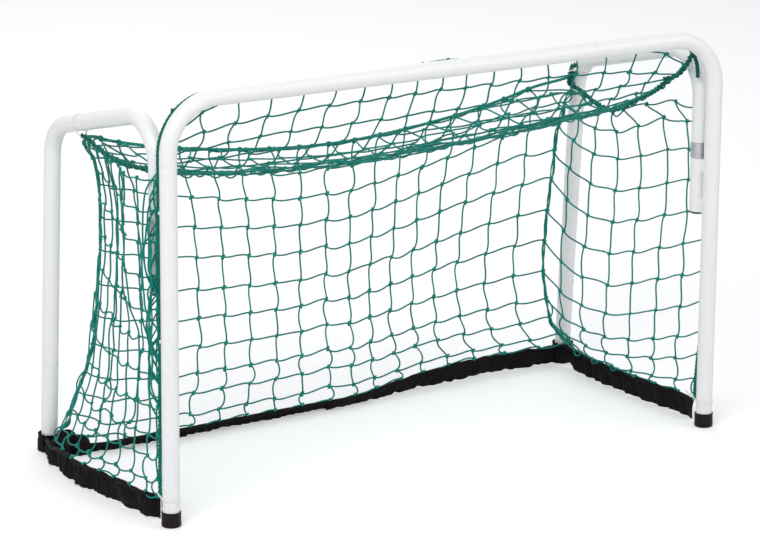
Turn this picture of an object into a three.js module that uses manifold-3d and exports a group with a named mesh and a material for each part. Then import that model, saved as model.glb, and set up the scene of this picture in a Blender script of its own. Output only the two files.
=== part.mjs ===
// Small folding street hockey goal: white steel tube frame, two side wings that fold inwards, a knotted
// square-mesh net hung on cords and a black fabric skirt along the floor.
// Millimetres, +X along the crossbar, +Y from the goal mouth to the back, +Z up.
import * as THREE from 'three';
import { mergeVertices } from 'three/addons/utils/BufferGeometryUtils.js';
import Module from 'manifold-3d';

const wasm = await Module();
wasm.setup();
const { lerp, smoothstep } = THREE.MathUtils;

// ---------------------------------------------------------------- driving dimensions
const openingWidth = 900;
const openingHeight = 600;
const tubeDiameter = 25;
const tubeWall = 1.5;
const frontBendRadius = 75;
const wingBendRadius = 62;
const wingDepth = 362;
const wingFrontDrop = 20.5;
const wingRearDrop = 106.5;
const rearLegLean = 32;
const hingeGap = 8;

const gap = 0.3;
const capWall = 1.5;
const capFloor = 4;
const capHeight = 22;

const shortLegRun = 68.1;
const sleeveLength = 84;
const collarHeight = 24;
const collarOversize = 1;
const journalLength = 45;
const spigotLength = 35;
const plugDepth = 14;
const plugHead = 3;
const webWidth = 8;
const webHeight = 22;

const edgeCordDiameter = 6;
const edgeCordOutward = 8.25;
const edgeCordAboveBar = 4.5;
const cordTubeGap = 1;
const cordFootHeight = 37;
const cordFootBack = 29;
const cordFootOutward = 2.5;
const cordDriftHeight = 240;

const clipWall = 1.4;
const clipWidth = 7;
const crossbarClipPitch = 150;
const crossbarClipCount = 5;
const clipBelowSleeve = 65;
const clipAboveSleeve = 36;

const footTieHeight = 39;
const footTieWidth = 3.6;
const footTieWall = 1.1;

const hemRopeDiameter = 6;
const tieBandDiameter = 3;
const knotDiameter = 13;
const leftTieBeforeCorner = 92;
const rightTieBendShare = 0.4;
const ropeEndAngle = 43.2;
const ropeEndInset = 7.1;
const ropeEndBehindBar = 23;

const twineDiameter = 2.4;
const netColumnsPerHalf = 9;
const netRows = 9;
const sideNetColumns = 6;
const roofRows = 5;
const sideNetBelowBar = 112.5;
const netBorderGap = 2.7;
const netRopeSag = 4;
const backNetBelly = 10;
const roofDrop = { behind: 78, below: 177.5 };
const roofLow = { beforeCorner: 137, below: 197.5 };

const skirtHeight = 34;
const backSkirtHeight = 26;
const skirtThickness = 5;
const skirtFloorGap = 0.6;
const skirtBehindPost = 31;
const pocketWall = 2.4;
const pocketSlack = 0.8;

// Facets: sides round each section, steps round each bend and along each run.
const tubeSides = 16;
const boreSides = 12;
const ringSides = 14;
const cordSides = 8;
const roundSides = 24;
const bendSteps = 7;
const driftSteps = 4;
const postSteps = 4;
const tieArcSteps = 10;
const knotSides = 10;
const sideRopeStep = 16;
const rearRopeStep = 32;

// ---------------------------------------------------------------- worked-out places
const tubeRadius = tubeDiameter / 2;
const boreRadius = tubeRadius - tubeWall;
const journalRadius = boreRadius * Math.cos(Math.PI / boreSides) - gap;
const postX = openingWidth / 2 + tubeRadius;
const crossbarZ = openingHeight + tubeRadius;
const hingeY = tubeDiameter + hingeGap;
const legFootY = wingDepth + rearLegLean;
const wingFrontZ = crossbarZ - wingFrontDrop;
const wingRearZ = crossbarZ - wingRearDrop;
const wingSlope = Math.atan2(wingFrontZ - wingRearZ, wingDepth - hingeY);
const wingFrontReach = wingBendRadius * Math.tan((Math.PI / 2 + wingSlope) / 2);
const tubeFootZ = capFloor + gap;
const capRadius = tubeRadius + gap + capWall;
const shortLegFootZ = wingFrontZ - wingFrontReach - shortLegRun;
const collarFootZ = shortLegFootZ - gap - collarHeight;
const sleeveTopZ = collarFootZ - gap;
const sleeveFootZ = sleeveTopZ - sleeveLength;
const postClipHeights = [sleeveFootZ - clipBelowSleeve, sleeveTopZ + clipAboveSleeve];
const cordRadius = edgeCordDiameter / 2;
const cordOffset = tubeRadius + cordTubeGap + cordRadius;
const clipRadius = cordRadius + 2 * gap + clipWall;
const netSeat = clipRadius + twineDiameter * Math.SQRT1_2 + gap;
const ropeSeat = hemRopeDiameter / 2 + twineDiameter / 2 + 2 * gap;
const tieOffset = tubeRadius + gap + tieBandDiameter / 2;
const tieHang = tieOffset + tieBandDiameter / 2 + gap + hemRopeDiameter / 2;
const pocketRadius = capRadius + gap + pocketWall;
const skirtTop = skirtFloorGap + skirtHeight;
const netFootZ = skirtTop + gap + twineDiameter * Math.SQRT1_2;
const backNetFootZ = netFootZ - skirtHeight + backSkirtHeight;

const SIDES = [
  { name: 'left', sign: -1 },
  { name: 'right', sign: 1 },
];

// ---------------------------------------------------------------- materials
const finish = (color, roughness, metalness) =>
  new THREE.MeshStandardMaterial({ color, roughness, metalness });
const whitePaint = () => finish(0xf2f1ee, 0.35, 0.1);
const blackPlastic = () => finish(0x100e10, 0.5, 0);
const zincPlate = () => finish(0xa9adb0, 0.35, 0.9);
const greenTwine = () => finish(0x0a7a58, 0.85, 0);
const greenRope = () => finish(0x0a5c40, 0.85, 0);
const blackFabric = () => finish(0x0e0c10, 0.8, 0);
const whiteNylon = () => finish(0xeeeeea, 0.5, 0);

const goal = new THREE.Group();

function addPiece(name, geometry, material) {
  const piece = new THREE.Mesh(geometry, material);
  piece.name = name;
  goal.add(piece);
  return piece;
}

// ---------------------------------------------------------------- geometry helpers
const point = (x, y, z) => new THREE.Vector3(x, y, z);

// A curve that visits chosen stations, each with its own direction, one per extrusion step.
class StationCurve extends THREE.Curve {
  constructor(stations) {
    super();
    this.stations = stations;
  }

  steps() {
    return this.stations.length - 1;
  }

  between(u, key) {
    const place = u * this.steps();
    const index = Math.min(Math.floor(place), this.steps() - 1);
    return this.stations[index][key].clone().lerp(this.stations[index + 1][key], place - index);
  }

  getPoint(u) {
    return this.between(u, 'at');
  }

  getPointAt(u) {
    return this.between(u, 'at');
  }

  getTangentAt(u) {
    return this.between(u, 'along').normalize();
  }
}

// Stations along straight runs joined by round bends.
function bentStations(corners, radius) {
  const stations = [];
  const first = corners[1].clone().sub(corners[0]).normalize();
  stations.push({ at: corners[0].clone(), along: first });
  for (let i = 1; i < corners.length - 1; i += 1) {
    const before = corners[i].clone().sub(corners[i - 1]).normalize();
    const after = corners[i + 1].clone().sub(corners[i]).normalize();
    const turn = before.angleTo(after);
    const reach = radius * Math.tan(turn / 2);
    const start = corners[i].clone().addScaledVector(before, -reach);
    const inward = after.clone().addScaledVector(before, -after.dot(before)).normalize();
    for (let step = 0; step <= bendSteps; step += 1) {
      const angle = (turn * step) / bendSteps;
      const at = start.clone()
        .addScaledVector(before, radius * Math.sin(angle))
        .addScaledVector(inward, radius * (1 - Math.cos(angle)));
      const along = before.clone().multiplyScalar(Math.cos(angle))
        .addScaledVector(inward, Math.sin(angle));
      stations.push({ at, along });
    }
  }
  const last = corners[corners.length - 1];
  const finalRun = last.clone().sub(corners[corners.length - 2]).normalize();
  stations.push({ at: last.clone(), along: finalRun });
  return stations;
}

function ringOutline(outer, inner, outerSides, innerSides) {
  const circle = (radius, sides) => Array.from({ length: sides }, (_, i) => {
    const angle = (2 * Math.PI * i) / sides;
    return new THREE.Vector2(radius * Math.cos(angle), radius * Math.sin(angle));
  });
  const shape = new THREE.Shape(circle(outer, outerSides));
  if (inner > 0) shape.holes.push(new THREE.Path(circle(inner, innerSides)));
  return shape;
}

function tubeAlong(curve, steps, outer, inner, sides) {
  const outline = ringOutline(outer, inner, sides, boreSides);
  return new THREE.ExtrudeGeometry(outline, { steps, bevelEnabled: false, extrudePath: curve });
}

// A round rope through chosen points.
function ropeAlong(points, radius, step) {
  const curve = new THREE.CatmullRomCurve3(points);
  const steps = Math.ceil(curve.getLength() / step);
  return tubeAlong(curve, steps, radius, 0, cordSides);
}

// A solid of revolution about +Z from [radius, height] pairs that start and end on the axis.
function turned(profile, sides = roundSides) {
  const outline = profile.map(([radius, height]) => new THREE.Vector2(radius, height));
  return new THREE.LatheGeometry(outline, sides).rotateX(Math.PI / 2);
}

const rod = (radius, height, sides) => turned([[0, 0], [radius, 0], [radius, height], [0, height]], sides);

// A cutter runs past both faces of what it cuts.
const overcut = 1;
const cutter = (radius, height, sides) => rod(radius, height + 2 * overcut, sides).translate(0, 0, -overcut);

function toSolid(geometry) {
  const bare = geometry.clone();
  bare.deleteAttribute('normal');
  bare.deleteAttribute('uv');
  const merged = mergeVertices(bare, 1e-4);
  const mesh = new wasm.Mesh({
    numProp: 3,
    vertProperties: new Float32Array(merged.attributes.position.array),
    triVerts: new Uint32Array(merged.index.array),
  });
  return new wasm.Manifold(mesh);
}

function fromSolid(solid) {
  const mesh = solid.getMesh();
  const geometry = new THREE.BufferGeometry();
  geometry.setAttribute('position', new THREE.BufferAttribute(new Float32Array(mesh.vertProperties), 3));
  geometry.setIndex(new THREE.BufferAttribute(new Uint32Array(mesh.triVerts), 1));
  geometry.computeVertexNormals();
  return geometry;
}

// ---------------------------------------------------------------- tube frame
const frontCorners = [
  point(-postX, 0, tubeFootZ),
  point(-postX, 0, crossbarZ),
  point(postX, 0, crossbarZ),
  point(postX, 0, tubeFootZ),
];

// A wing's top bar slopes down from above the hinge to the rear leg.
function wingCorners(sign) {
  return [
    point(sign * postX, hingeY, shortLegFootZ),
    point(sign * postX, hingeY, wingFrontZ),
    point(sign * postX, wingDepth, wingRearZ),
    point(sign * postX, legFootY, tubeFootZ),
  ];
}

function bentTube(corners, radius) {
  const curve = new StationCurve(bentStations(corners, radius));
  return tubeAlong(curve, curve.steps(), tubeRadius, boreRadius, tubeSides);
}

addPiece('front_frame', bentTube(frontCorners, frontBendRadius), whitePaint());
for (const { name, sign } of SIDES) {
  addPiece(`wing_${name}`, bentTube(wingCorners(sign), wingBendRadius), whitePaint());
}

// ---------------------------------------------------------------- foot caps
function frontCap() {
  const innerRadius = tubeRadius + gap;
  return turned([[0, 0], [capRadius, 0], [capRadius, capHeight], [innerRadius, capHeight],
    [innerRadius, capFloor], [0, capFloor]]);
}

// The rear legs lean, so their flat-bottomed caps have a leaning bore.
function rearCap() {
  const lean = Math.atan2(rearLegLean, wingRearZ - tubeFootZ);
  const bore = rod(tubeRadius + gap, 2 * capHeight, roundSides)
    .rotateX(lean)
    .translate(0, 0, capFloor);
  const body = rod(capRadius + capWall * Math.sin(lean), capHeight, roundSides);
  return fromSolid(toSolid(body).subtract(toSolid(bore)));
}

for (const { name, sign } of SIDES) {
  addPiece(`foot_cap_front_${name}`, frontCap(), blackPlastic()).position.set(sign * postX, 0, 0);
  addPiece(`foot_cap_rear_${name}`, rearCap(), blackPlastic()).position.set(sign * postX, legFootY, 0);
}

// ---------------------------------------------------------------- wing hinges
// A short sleeve stands behind each post on two webs; the wing's stepped pin turns in it.
function hingeSleeve() {
  const tube = toSolid(rod(tubeRadius, sleeveLength, tubeSides));
  const bore = toSolid(cutter(boreRadius, sleeveLength, boreSides));
  const webs = [0, sleeveLength - webHeight].map((height) => {
    const web = new THREE.BoxGeometry(webWidth, hingeY, webHeight);
    web.translate(0, -hingeY / 2, height + webHeight / 2);
    return toSolid(web);
  });
  const post = toSolid(cutter(tubeRadius + gap, sleeveLength, tubeSides).translate(0, -hingeY, 0));
  return fromSolid(tube.add(webs[0]).add(webs[1]).subtract(post).subtract(bore));
}

function hingePin() {
  const journal = journalRadius;
  const collar = tubeRadius + collarOversize;
  const shoulder = journalLength;
  const top = shoulder + collarHeight;
  return turned([[0, 0], [journal, 0], [journal, shoulder], [collar, shoulder], [collar, top],
    [journal, top], [journal, top + spigotLength], [0, top + spigotLength]]);
}

function sleevePlug() {
  const shank = journalRadius;
  return turned([[0, -plugHead], [tubeRadius, -plugHead], [tubeRadius, -gap], [shank, -gap],
    [shank, plugDepth], [0, plugDepth]]);
}

for (const { name, sign } of SIDES) {
  const x = sign * postX;
  addPiece(`hinge_sleeve_${name}`, hingeSleeve(), whitePaint()).position.set(x, hingeY, sleeveFootZ);
  addPiece(`hinge_pin_${name}`, hingePin(), zincPlate()).position.set(x, hingeY, collarFootZ - journalLength);
  addPiece(`sleeve_plug_${name}`, sleevePlug(), blackPlastic()).position.set(x, hingeY, sleeveFootZ);
}

// ---------------------------------------------------------------- edge cord behind the front frame
// The cord lies on the outer rear side of the posts and just above the rear of the crossbar.
function cordBack(outward) {
  return Math.sqrt(cordOffset ** 2 - outward ** 2);
}

function cordOnPost(sign, height) {
  const drift = smoothstep(cordDriftHeight - height, 0, cordDriftHeight - cordFootHeight);
  const outward = lerp(edgeCordOutward, cordFootOutward, drift);
  const back = lerp(cordBack(edgeCordOutward), cordFootBack, drift);
  return point(sign * (postX + outward), back, height);
}

function cordOnBar(x) {
  return point(x, cordBack(edgeCordAboveBar), crossbarZ + edgeCordAboveBar);
}

function cordOnBend(sign, angle) {
  const outward = lerp(edgeCordOutward, edgeCordAboveBar, angle / (Math.PI / 2));
  const reach = frontBendRadius + outward;
  const x = postX - frontBendRadius + reach * Math.cos(angle);
  const z = crossbarZ - frontBendRadius + reach * Math.sin(angle);
  return point(sign * x, cordBack(outward), z);
}

function cordHalf(sign) {
  const bendFootZ = crossbarZ - frontBendRadius;
  const half = [];
  for (let step = 0; step < driftSteps; step += 1) {
    half.push(cordOnPost(sign, lerp(cordFootHeight, cordDriftHeight, step / driftSteps)));
  }
  for (let step = 0; step <= postSteps; step += 1) {
    half.push(cordOnPost(sign, lerp(cordDriftHeight, bendFootZ, step / postSteps)));
  }
  for (let step = 1; step <= bendSteps; step += 1) {
    half.push(cordOnBend(sign, (Math.PI / 2) * (step / bendSteps)));
  }
  return half;
}

function edgeCord() {
  const barRun = [-0.5, 0, 0.5].map((share) => cordOnBar(2 * share * (postX - frontBendRadius)));
  const points = [...cordHalf(-1), ...barRun, ...cordHalf(1).reverse()];
  const stations = points.map((at, i) => {
    const before = points[Math.max(i - 1, 0)];
    const after = points[Math.min(i + 1, points.length - 1)];
    const inTo = at.clone().sub(before).normalize();
    const outOf = after.clone().sub(at).normalize();
    return { at, along: inTo.add(outOf).normalize() };
  });
  const curve = new StationCurve(stations);
  return tubeAlong(curve, curve.steps(), cordRadius, 0, cordSides);
}

addPiece('edge_cord', edgeCord(), greenRope());

// A clip is a ring round the cord with a foot on the tube. It is built along +Z, its tube's axis on the
// origin and the cord at (across, back).
function cordClip(across, back) {
  const reach = Math.hypot(across, back);
  const ring = toSolid(rod(clipRadius, clipWidth, ringSides).translate(across, back, 0));
  const foot = new THREE.BoxGeometry(clipRadius, reach, clipWidth);
  foot.translate(0, reach / 2, clipWidth / 2).rotateZ(-Math.atan2(across, back));
  const channel = toSolid(cutter(cordRadius + 2 * gap, clipWidth, ringSides).translate(across, back, 0));
  const tube = toSolid(cutter(tubeRadius + gap, clipWidth, roundSides));
  const solid = ring.add(toSolid(foot)).subtract(channel).subtract(tube);
  return fromSolid(solid).translate(0, 0, -clipWidth / 2);
}

for (let i = 0; i < crossbarClipCount; i += 1) {
  const x = (i - (crossbarClipCount - 1) / 2) * crossbarClipPitch;
  const clip = cordClip(-edgeCordAboveBar, cordBack(edgeCordAboveBar)).rotateY(Math.PI / 2);
  addPiece(`cord_clip_bar_${i + 1}`, clip, whitePaint()).position.set(x, 0, crossbarZ);
}
for (const { name, sign } of SIDES) {
  postClipHeights.forEach((height, i) => {
    const cord = cordOnPost(sign, height);
    const clip = cordClip(cord.x - sign * postX, cord.y);
    addPiece(`cord_clip_${name}_${i + 1}`, clip, whitePaint()).position.set(sign * postX, 0, height);
  });
}

// ---------------------------------------------------------------- white ties at the cord's feet
// The band's outline is the hull of two circles: the post and the cord beside it.
function twoCircleHull(near, nearRadius, far, farRadius) {
  const direction = far.clone().sub(near);
  const heading = direction.angle();
  const spread = Math.acos((nearRadius - farRadius) / direction.length());
  const points = [];
  const arc = (centre, radius, from, to) => {
    for (let i = 0; i <= tieArcSteps; i += 1) {
      const angle = from + ((to - from) * i) / tieArcSteps;
      const around = new THREE.Vector2(Math.cos(angle), Math.sin(angle));
      points.push(around.multiplyScalar(radius).add(centre));
    }
  };
  arc(near, nearRadius, heading + spread, heading + 2 * Math.PI - spread);
  arc(far, farRadius, heading - spread, heading + spread);
  return points;
}

function footTie(sign) {
  const cord = cordOnPost(sign, footTieHeight + footTieWidth / 2);
  const post = new THREE.Vector2(sign * postX, 0);
  const cordCentre = new THREE.Vector2(cord.x, cord.y);
  const outline = (extra) => twoCircleHull(
    post, tubeRadius + gap + extra, cordCentre, cordRadius + 2 * gap + extra);
  const shape = new THREE.Shape(outline(footTieWall));
  shape.holes.push(new THREE.Path(outline(0)));
  const band = new THREE.ExtrudeGeometry(shape, { depth: footTieWidth, bevelEnabled: false });
  return band.translate(0, 0, footTieHeight);
}

for (const { name, sign } of SIDES) {
  addPiece(`foot_tie_${name}`, footTie(sign), whiteNylon());
}

// ---------------------------------------------------------------- rope ties on the wings
// A thin white band holds the ropes: the left one has slid along the top bar, the right one sits in the
// rear bend.
function tiePlace(sign) {
  const height = wingRearZ + leftTieBeforeCorner * Math.tan(wingSlope);
  const onTopBar = {
    at: point(-postX, wingDepth - leftTieBeforeCorner, height),
    along: point(0, Math.cos(wingSlope), -Math.sin(wingSlope)),
  };
  if (sign < 0) return onTopBar;
  const rearBend = bentStations(wingCorners(sign), wingBendRadius).slice(-(bendSteps + 2), -1);
  return rearBend[Math.round(rightTieBendShare * bendSteps)];
}

// A place near a wing's tie, given as [inside it, behind it, below it].
function nearTie(sign, [inside, behind, below]) {
  const { at } = tiePlace(sign);
  return point(at.x - sign * inside, at.y + behind, at.z - below);
}

function tieRing() {
  return new THREE.TorusGeometry(tieOffset, tieBandDiameter / 2, cordSides, tubeSides);
}

for (const { name, sign } of SIDES) {
  const place = tiePlace(sign);
  const ring = addPiece(`corner_tie_${name}`, tieRing(), whiteNylon());
  ring.position.copy(place.at);
  ring.quaternion.setFromUnitVectors(point(0, 0, 1), place.along);
}

// ---------------------------------------------------------------- hem ropes of the net
// Each side rope hangs from its wing's tie to the front bend. The left one starts under its tie, the right
// one beside its tie and first drops behind it. The points between are
// [share of the run, inside the post, sag below the straight line].
const sideRopeStarts = {
  left: [0.5, -1.5, tieHang * Math.cos(wingSlope)],
  right: [tieHang + 0.4, -3, -6],
};
const knotPlace = [0.766, 17.5, 38.4];
const sideRopePlaces = {
  left: [[0.087, 2, 8.4], [0.157, 2.5, 18.3], [0.263, 3, 30.3], [0.368, 3.5, 40.8], [0.497, 5.5, 52],
    [0.601, 10.5, 58.8], [0.672, 16.5, 63.7], [0.871, 21.5, 52.5], [0.956, 24, 24.7]],
  right: [[-0.038, 16.3, 32], [0.03, 13, 44.8], [0.097, 9, 59.9], [0.173, 7, 71.8], [0.251, 6, 79.3],
    [0.332, 6, 77.9], [0.415, 6.5, 71.1], [0.516, 8, 63.4], [0.623, 11, 55.6], knotPlace,
    [0.878, 20.5, 29.1], [0.946, 22.5, 15.5]],
};

const sideRopeStart = (name, sign) => nearTie(sign, sideRopeStarts[name]);

function sideRopeEnd(sign) {
  const reach = frontBendRadius - ropeEndInset;
  const angle = THREE.MathUtils.degToRad(ropeEndAngle);
  return point(sign * (postX - frontBendRadius + reach * Math.cos(angle)), ropeEndBehindBar,
    crossbarZ - frontBendRadius + reach * Math.sin(angle));
}

function onSideRope(name, sign, [share, inside, sag]) {
  const straight = sideRopeStart(name, sign).lerp(sideRopeEnd(sign), share);
  return point(sign * (postX - inside), straight.y, straight.z - sag);
}

function sideRopeRoute(name, sign) {
  const between = sideRopePlaces[name].map((place) => onSideRope(name, sign, place));
  return [sideRopeStart(name, sign), ...between, sideRopeEnd(sign)];
}

function sideRope(name, sign) {
  const rope = ropeAlong(sideRopeRoute(name, sign), hemRopeDiameter / 2, sideRopeStep);
  if (name === 'left') return rope;
  const ball = new THREE.SphereGeometry(knotDiameter / 2, knotSides, cordSides);
  ball.translate(...onSideRope(name, sign, knotPlace).toArray());
  return fromSolid(toSolid(rope).add(toSolid(ball)));
}

// Half of the rear rope, from the goal's middle outwards, as
// [share of the half width, before the wing's rear corner, below that corner], then its places near the tie.
const rearRopePoints = [[0, 6, 80], [0.0649, 6, 79.7], [0.2054, 6, 76], [0.3827, 6, 68], [0.5514, 6, 57],
  [0.6897, 6, 44.5], [0.8065, 8, 31]];
const rearRopeEnds = {
  left: [[49.5, 50, 37.6], [18, 20, 27], [7, 3.5, 21.5]],
  right: [[39, 8.9, 20.2], [26, 5.9, 16.9]],
};

function rearRopeRoute(name, sign) {
  const half = rearRopePoints.map(([share, before, below]) => point(
    sign * Math.max(share * postX, gap / 2), wingDepth - before, wingRearZ - below));
  return [...half, ...rearRopeEnds[name].map((place) => nearTie(sign, place))];
}

for (const { name, sign } of SIDES) {
  addPiece(`side_rope_${name}`, sideRope(name, sign), greenRope());
  const rearRope = ropeAlong(rearRopeRoute(name, sign), hemRopeDiameter / 2, rearRopeStep);
  addPiece(`rear_rope_${name}`, rearRope, greenRope());
}

// ---------------------------------------------------------------- skirt along the floor
// Seen from above, the side skirts run from behind each post to the pocket on the rear foot, and the back
// skirts from the middle to the pocket. The left one bows out, the right one in, and the back one forward.
// Side points are [share of the run, outside the post], back points are
// [share of the half width, before the rear foot], and pocket angles are taken from the X axis.
const pocketReach = pocketRadius + gap + pocketSlack;
const skirtShapes = {
  left: {
    side: [[0.083, 11.5], [0.212, 16.5], [0.384, 25.5], [0.528, 33.5], [0.663, 33.5], [0.815, 27.5],
      [0.901, 22.5]],
    sidePocketAngle: -126.87,
    back: [[0, 44], [0.0649, 44], [0.2314, 47], [0.4108, 50], [0.5924, 55], [0.7568, 56], [0.8757, 55],
      [0.9405, 42]],
    backPocketAngle: -53.13,
  },
  right: {
    side: [[0.112, 2.5], [0.233, -4.5], [0.366, -9.5], [0.501, -11.5], [0.616, -15.5], [0.731, -15.5],
      [0.861, -14.5]],
    sidePocketAngle: -120,
    back: [[0, 44], [0.0649, 44], [0.1946, 32], [0.3459, 20], [0.5081, 13], [0.6832, 5], [0.8108, 7],
      [0.9189, 7]],
    backPocketAngle: -161.8,
  },
};

function skirtPlan(name, sign) {
  const shape = skirtShapes[name];
  const seat = (degrees) => {
    const angle = THREE.MathUtils.degToRad(degrees);
    return point(sign * postX + pocketReach * Math.cos(angle), legFootY + pocketReach * Math.sin(angle), 0);
  };
  const sideEnd = seat(shape.sidePocketAngle);
  const side = shape.side.map(([share, outside]) => point(
    sign * (postX + outside), lerp(skirtBehindPost, sideEnd.y, share), 0));
  const back = shape.back.map(([share, before]) => point(
    sign * Math.max(share * postX, gap / 2), legFootY - before, 0));
  return {
    side: new THREE.CatmullRomCurve3([point(sign * postX, skirtBehindPost, 0), ...side, sideEnd]),
    back: new THREE.CatmullRomCurve3([...back, seat(shape.backPocketAngle)]),
  };
}

function skirtBand(curve, height) {
  const steps = 3 * curve.points.length;
  const edge = (offset) => Array.from({ length: steps + 1 }, (_, i) => {
    const at = curve.getPointAt(i / steps);
    const along = curve.getTangentAt(i / steps);
    return new THREE.Vector2(at.x - along.y * offset, at.y + along.x * offset);
  });
  const outline = [...edge(skirtThickness / 2), ...edge(-skirtThickness / 2).reverse()];
  const band = new THREE.ExtrudeGeometry(new THREE.Shape(outline), { depth: height, bevelEnabled: false });
  return band.translate(0, 0, skirtFloorGap);
}

function skirtPocket() {
  const outer = toSolid(rod(pocketRadius, skirtHeight, roundSides));
  const inner = toSolid(cutter(pocketRadius - pocketWall, skirtHeight, roundSides));
  return fromSolid(outer.subtract(inner)).translate(0, 0, skirtFloorGap);
}

for (const { name, sign } of SIDES) {
  const plan = skirtPlan(name, sign);
  addPiece(`side_skirt_${name}`, skirtBand(plan.side, skirtHeight), blackFabric());
  addPiece(`back_skirt_${name}`, skirtBand(plan.back, backSkirtHeight), blackFabric());
  addPiece(`skirt_pocket_${name}`, skirtPocket(), blackFabric()).position.set(sign * postX, legFootY, 0);
}

// ---------------------------------------------------------------- knotted net
// Each panel is a lattice of square twine on a surface: eight vertices a knot, bars between the knots.
function netPanel(columns, rows, surface) {
  const knots = [];
  for (let i = 0; i <= columns; i += 1) {
    knots.push(Array.from({ length: rows + 1 }, (_, j) => surface(i / columns, j / rows)));
  }
  const positions = [];
  const triangles = [];
  const half = twineDiameter / 2;
  const corner = (i, j, a, b, c) => ((i * (rows + 1) + j) * 4 + a * 2 + b) * 2 + c;
  const quad = (p, q, r, s) => triangles.push(p, q, r, p, r, s);

  for (let i = 0; i <= columns; i += 1) {
    for (let j = 0; j <= rows; j += 1) {
      const along = knots[Math.min(i + 1, columns)][j].clone().sub(knots[Math.max(i - 1, 0)][j]).normalize();
      const down = knots[i][Math.min(j + 1, rows)].clone().sub(knots[i][Math.max(j - 1, 0)]).normalize();
      const out = along.clone().cross(down).normalize();
      for (const a of [-1, 1]) {
        for (const b of [-1, 1]) {
          for (const c of [-1, 1]) {
            const at = knots[i][j].clone().addScaledVector(along, a * half)
              .addScaledVector(down, b * half).addScaledVector(out, c * half);
            positions.push(at.x, at.y, at.z);
          }
        }
      }
    }
  }

  // A bar joins two knot faces; seen from face to face its four sides go round once.
  const bar = (from, to) => {
    for (let k = 0; k < 4; k += 1) {
      const next = (k + 1) % 4;
      quad(from[k], from[next], to[next], to[k]);
    }
  };
  const faceAlong = (i, j, a) => [[0, 0], [0, 1], [1, 1], [1, 0]].map(([b, c]) => corner(i, j, a, b, c));
  const faceDown = (i, j, b) => [[0, 0], [0, 1], [1, 1], [1, 0]].map(([c, a]) => corner(i, j, a, b, c));

  for (let i = 0; i <= columns; i += 1) {
    for (let j = 0; j <= rows; j += 1) {
      quad(corner(i, j, 0, 0, 1), corner(i, j, 1, 0, 1), corner(i, j, 1, 1, 1), corner(i, j, 0, 1, 1));
      quad(corner(i, j, 0, 1, 0), corner(i, j, 1, 1, 0), corner(i, j, 1, 0, 0), corner(i, j, 0, 0, 0));
      if (i < columns) bar(faceAlong(i, j, 1).reverse(), faceAlong(i + 1, j, 0).reverse());
      if (j < rows) bar(faceDown(i, j, 1).reverse(), faceDown(i, j + 1, 0).reverse());
      if (i === 0) quad(...faceAlong(i, j, 0));
      if (i === columns) quad(...faceAlong(i, j, 1).reverse());
      if (j === 0) quad(...faceDown(i, j, 0));
      if (j === rows) quad(...faceDown(i, j, 1).reverse());
    }
  }
  const geometry = new THREE.BufferGeometry();
  geometry.setAttribute('position', new THREE.BufferAttribute(new Float32Array(positions), 3));
  geometry.setIndex(triangles);
  geometry.computeVertexNormals();
  return geometry;
}

// The net's rear corner line: tied at the top, drawn inwards at mid height, out again at the foot.
// Its points between are
// [inside the post, before the wing's rear corner, share of the height of the wing's rear corner].
const cornerTops = { left: [14.5, 22, 36], right: [22.5, 2.9, 38.9] };
const cornerPoints = {
  left: [[43.5, 40, 0.8893], [49.5, 36, 0.8024], [49.5, 36, 0.6897], [47, 34, 0.5771], [41.8, 26, 0.4308],
    [33.1, 16, 0.3142], [19.5, 6, 0.1976]],
  right: [[38.2, 17, 0.8789], [52.9, 24, 0.8063], [63, 27, 0.7194], [68.7, 29, 0.6304], [77.1, 30, 0.5119],
    [78.9, 27, 0.3577], [67.6, 20, 0.2589], [46.9, 10, 0.1542]],
};
const cornerFoot = { inside: 6, beforePocket: 12, aboveSkirt: 4 };

function cornerLine(name, sign) {
  const between = cornerPoints[name].map(([inside, before, share]) => point(
    sign * (postX - inside), wingDepth - before, share * wingRearZ));
  const foot = point(sign * (postX - cornerFoot.inside), legFootY - pocketReach - cornerFoot.beforePocket,
    netFootZ + cornerFoot.aboveSkirt);
  return new THREE.CatmullRomCurve3([nearTie(sign, cornerTops[name]), ...between, foot]);
}

// The curves that the net's panels hang between, made once for each side.
const borders = {};
for (const { name, sign } of SIDES) {
  borders[name] = {
    corner: cornerLine(name, sign),
    rearRope: new THREE.CatmullRomCurve3(rearRopeRoute(name, sign)),
    sideRope: new THREE.CatmullRomCurve3(sideRopeRoute(name, sign)),
    skirt: skirtPlan(name, sign),
  };
}

// Shares of a border's run that a panel takes, and how fast an edge bends to meet its corner.
const backNetRopeShare = 0.9;
const netSkirtShare = 0.93;
const sideRopeShare = { front: 0.62, rear: { left: 0.06, right: 0.14 } };
const roofRopeShare = 0.86;
const roofSideShare = { front: 0.93, rear: 0.16 };
const cornerSharpness = { backFoot: 8, sideTop: 3, sideFoot: 6, roofEdge: 5 };

// Directions in which the net sits on a cord: outwards and back on a post, back and down on the bar.
const postSeat = { outward: 0.8, back: 0.6 };
const barSeat = { back: 0.7, down: 0.7 };

// Transfinite (Coons) blend of four border curves, each a function of its own share.
function coonsPatch(top, bottom, first, last) {
  return (u, v) => {
    const ruledV = top(u).multiplyScalar(1 - v).addScaledVector(bottom(u), v);
    const ruledU = first(v).multiplyScalar(1 - u).addScaledVector(last(v), u);
    const corners = first(0).multiplyScalar((1 - u) * (1 - v))
      .addScaledVector(last(0), u * (1 - v))
      .addScaledVector(first(1), (1 - u) * v)
      .addScaledVector(last(1), u * v);
    return ruledV.add(ruledU).sub(corners);
  };
}

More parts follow.
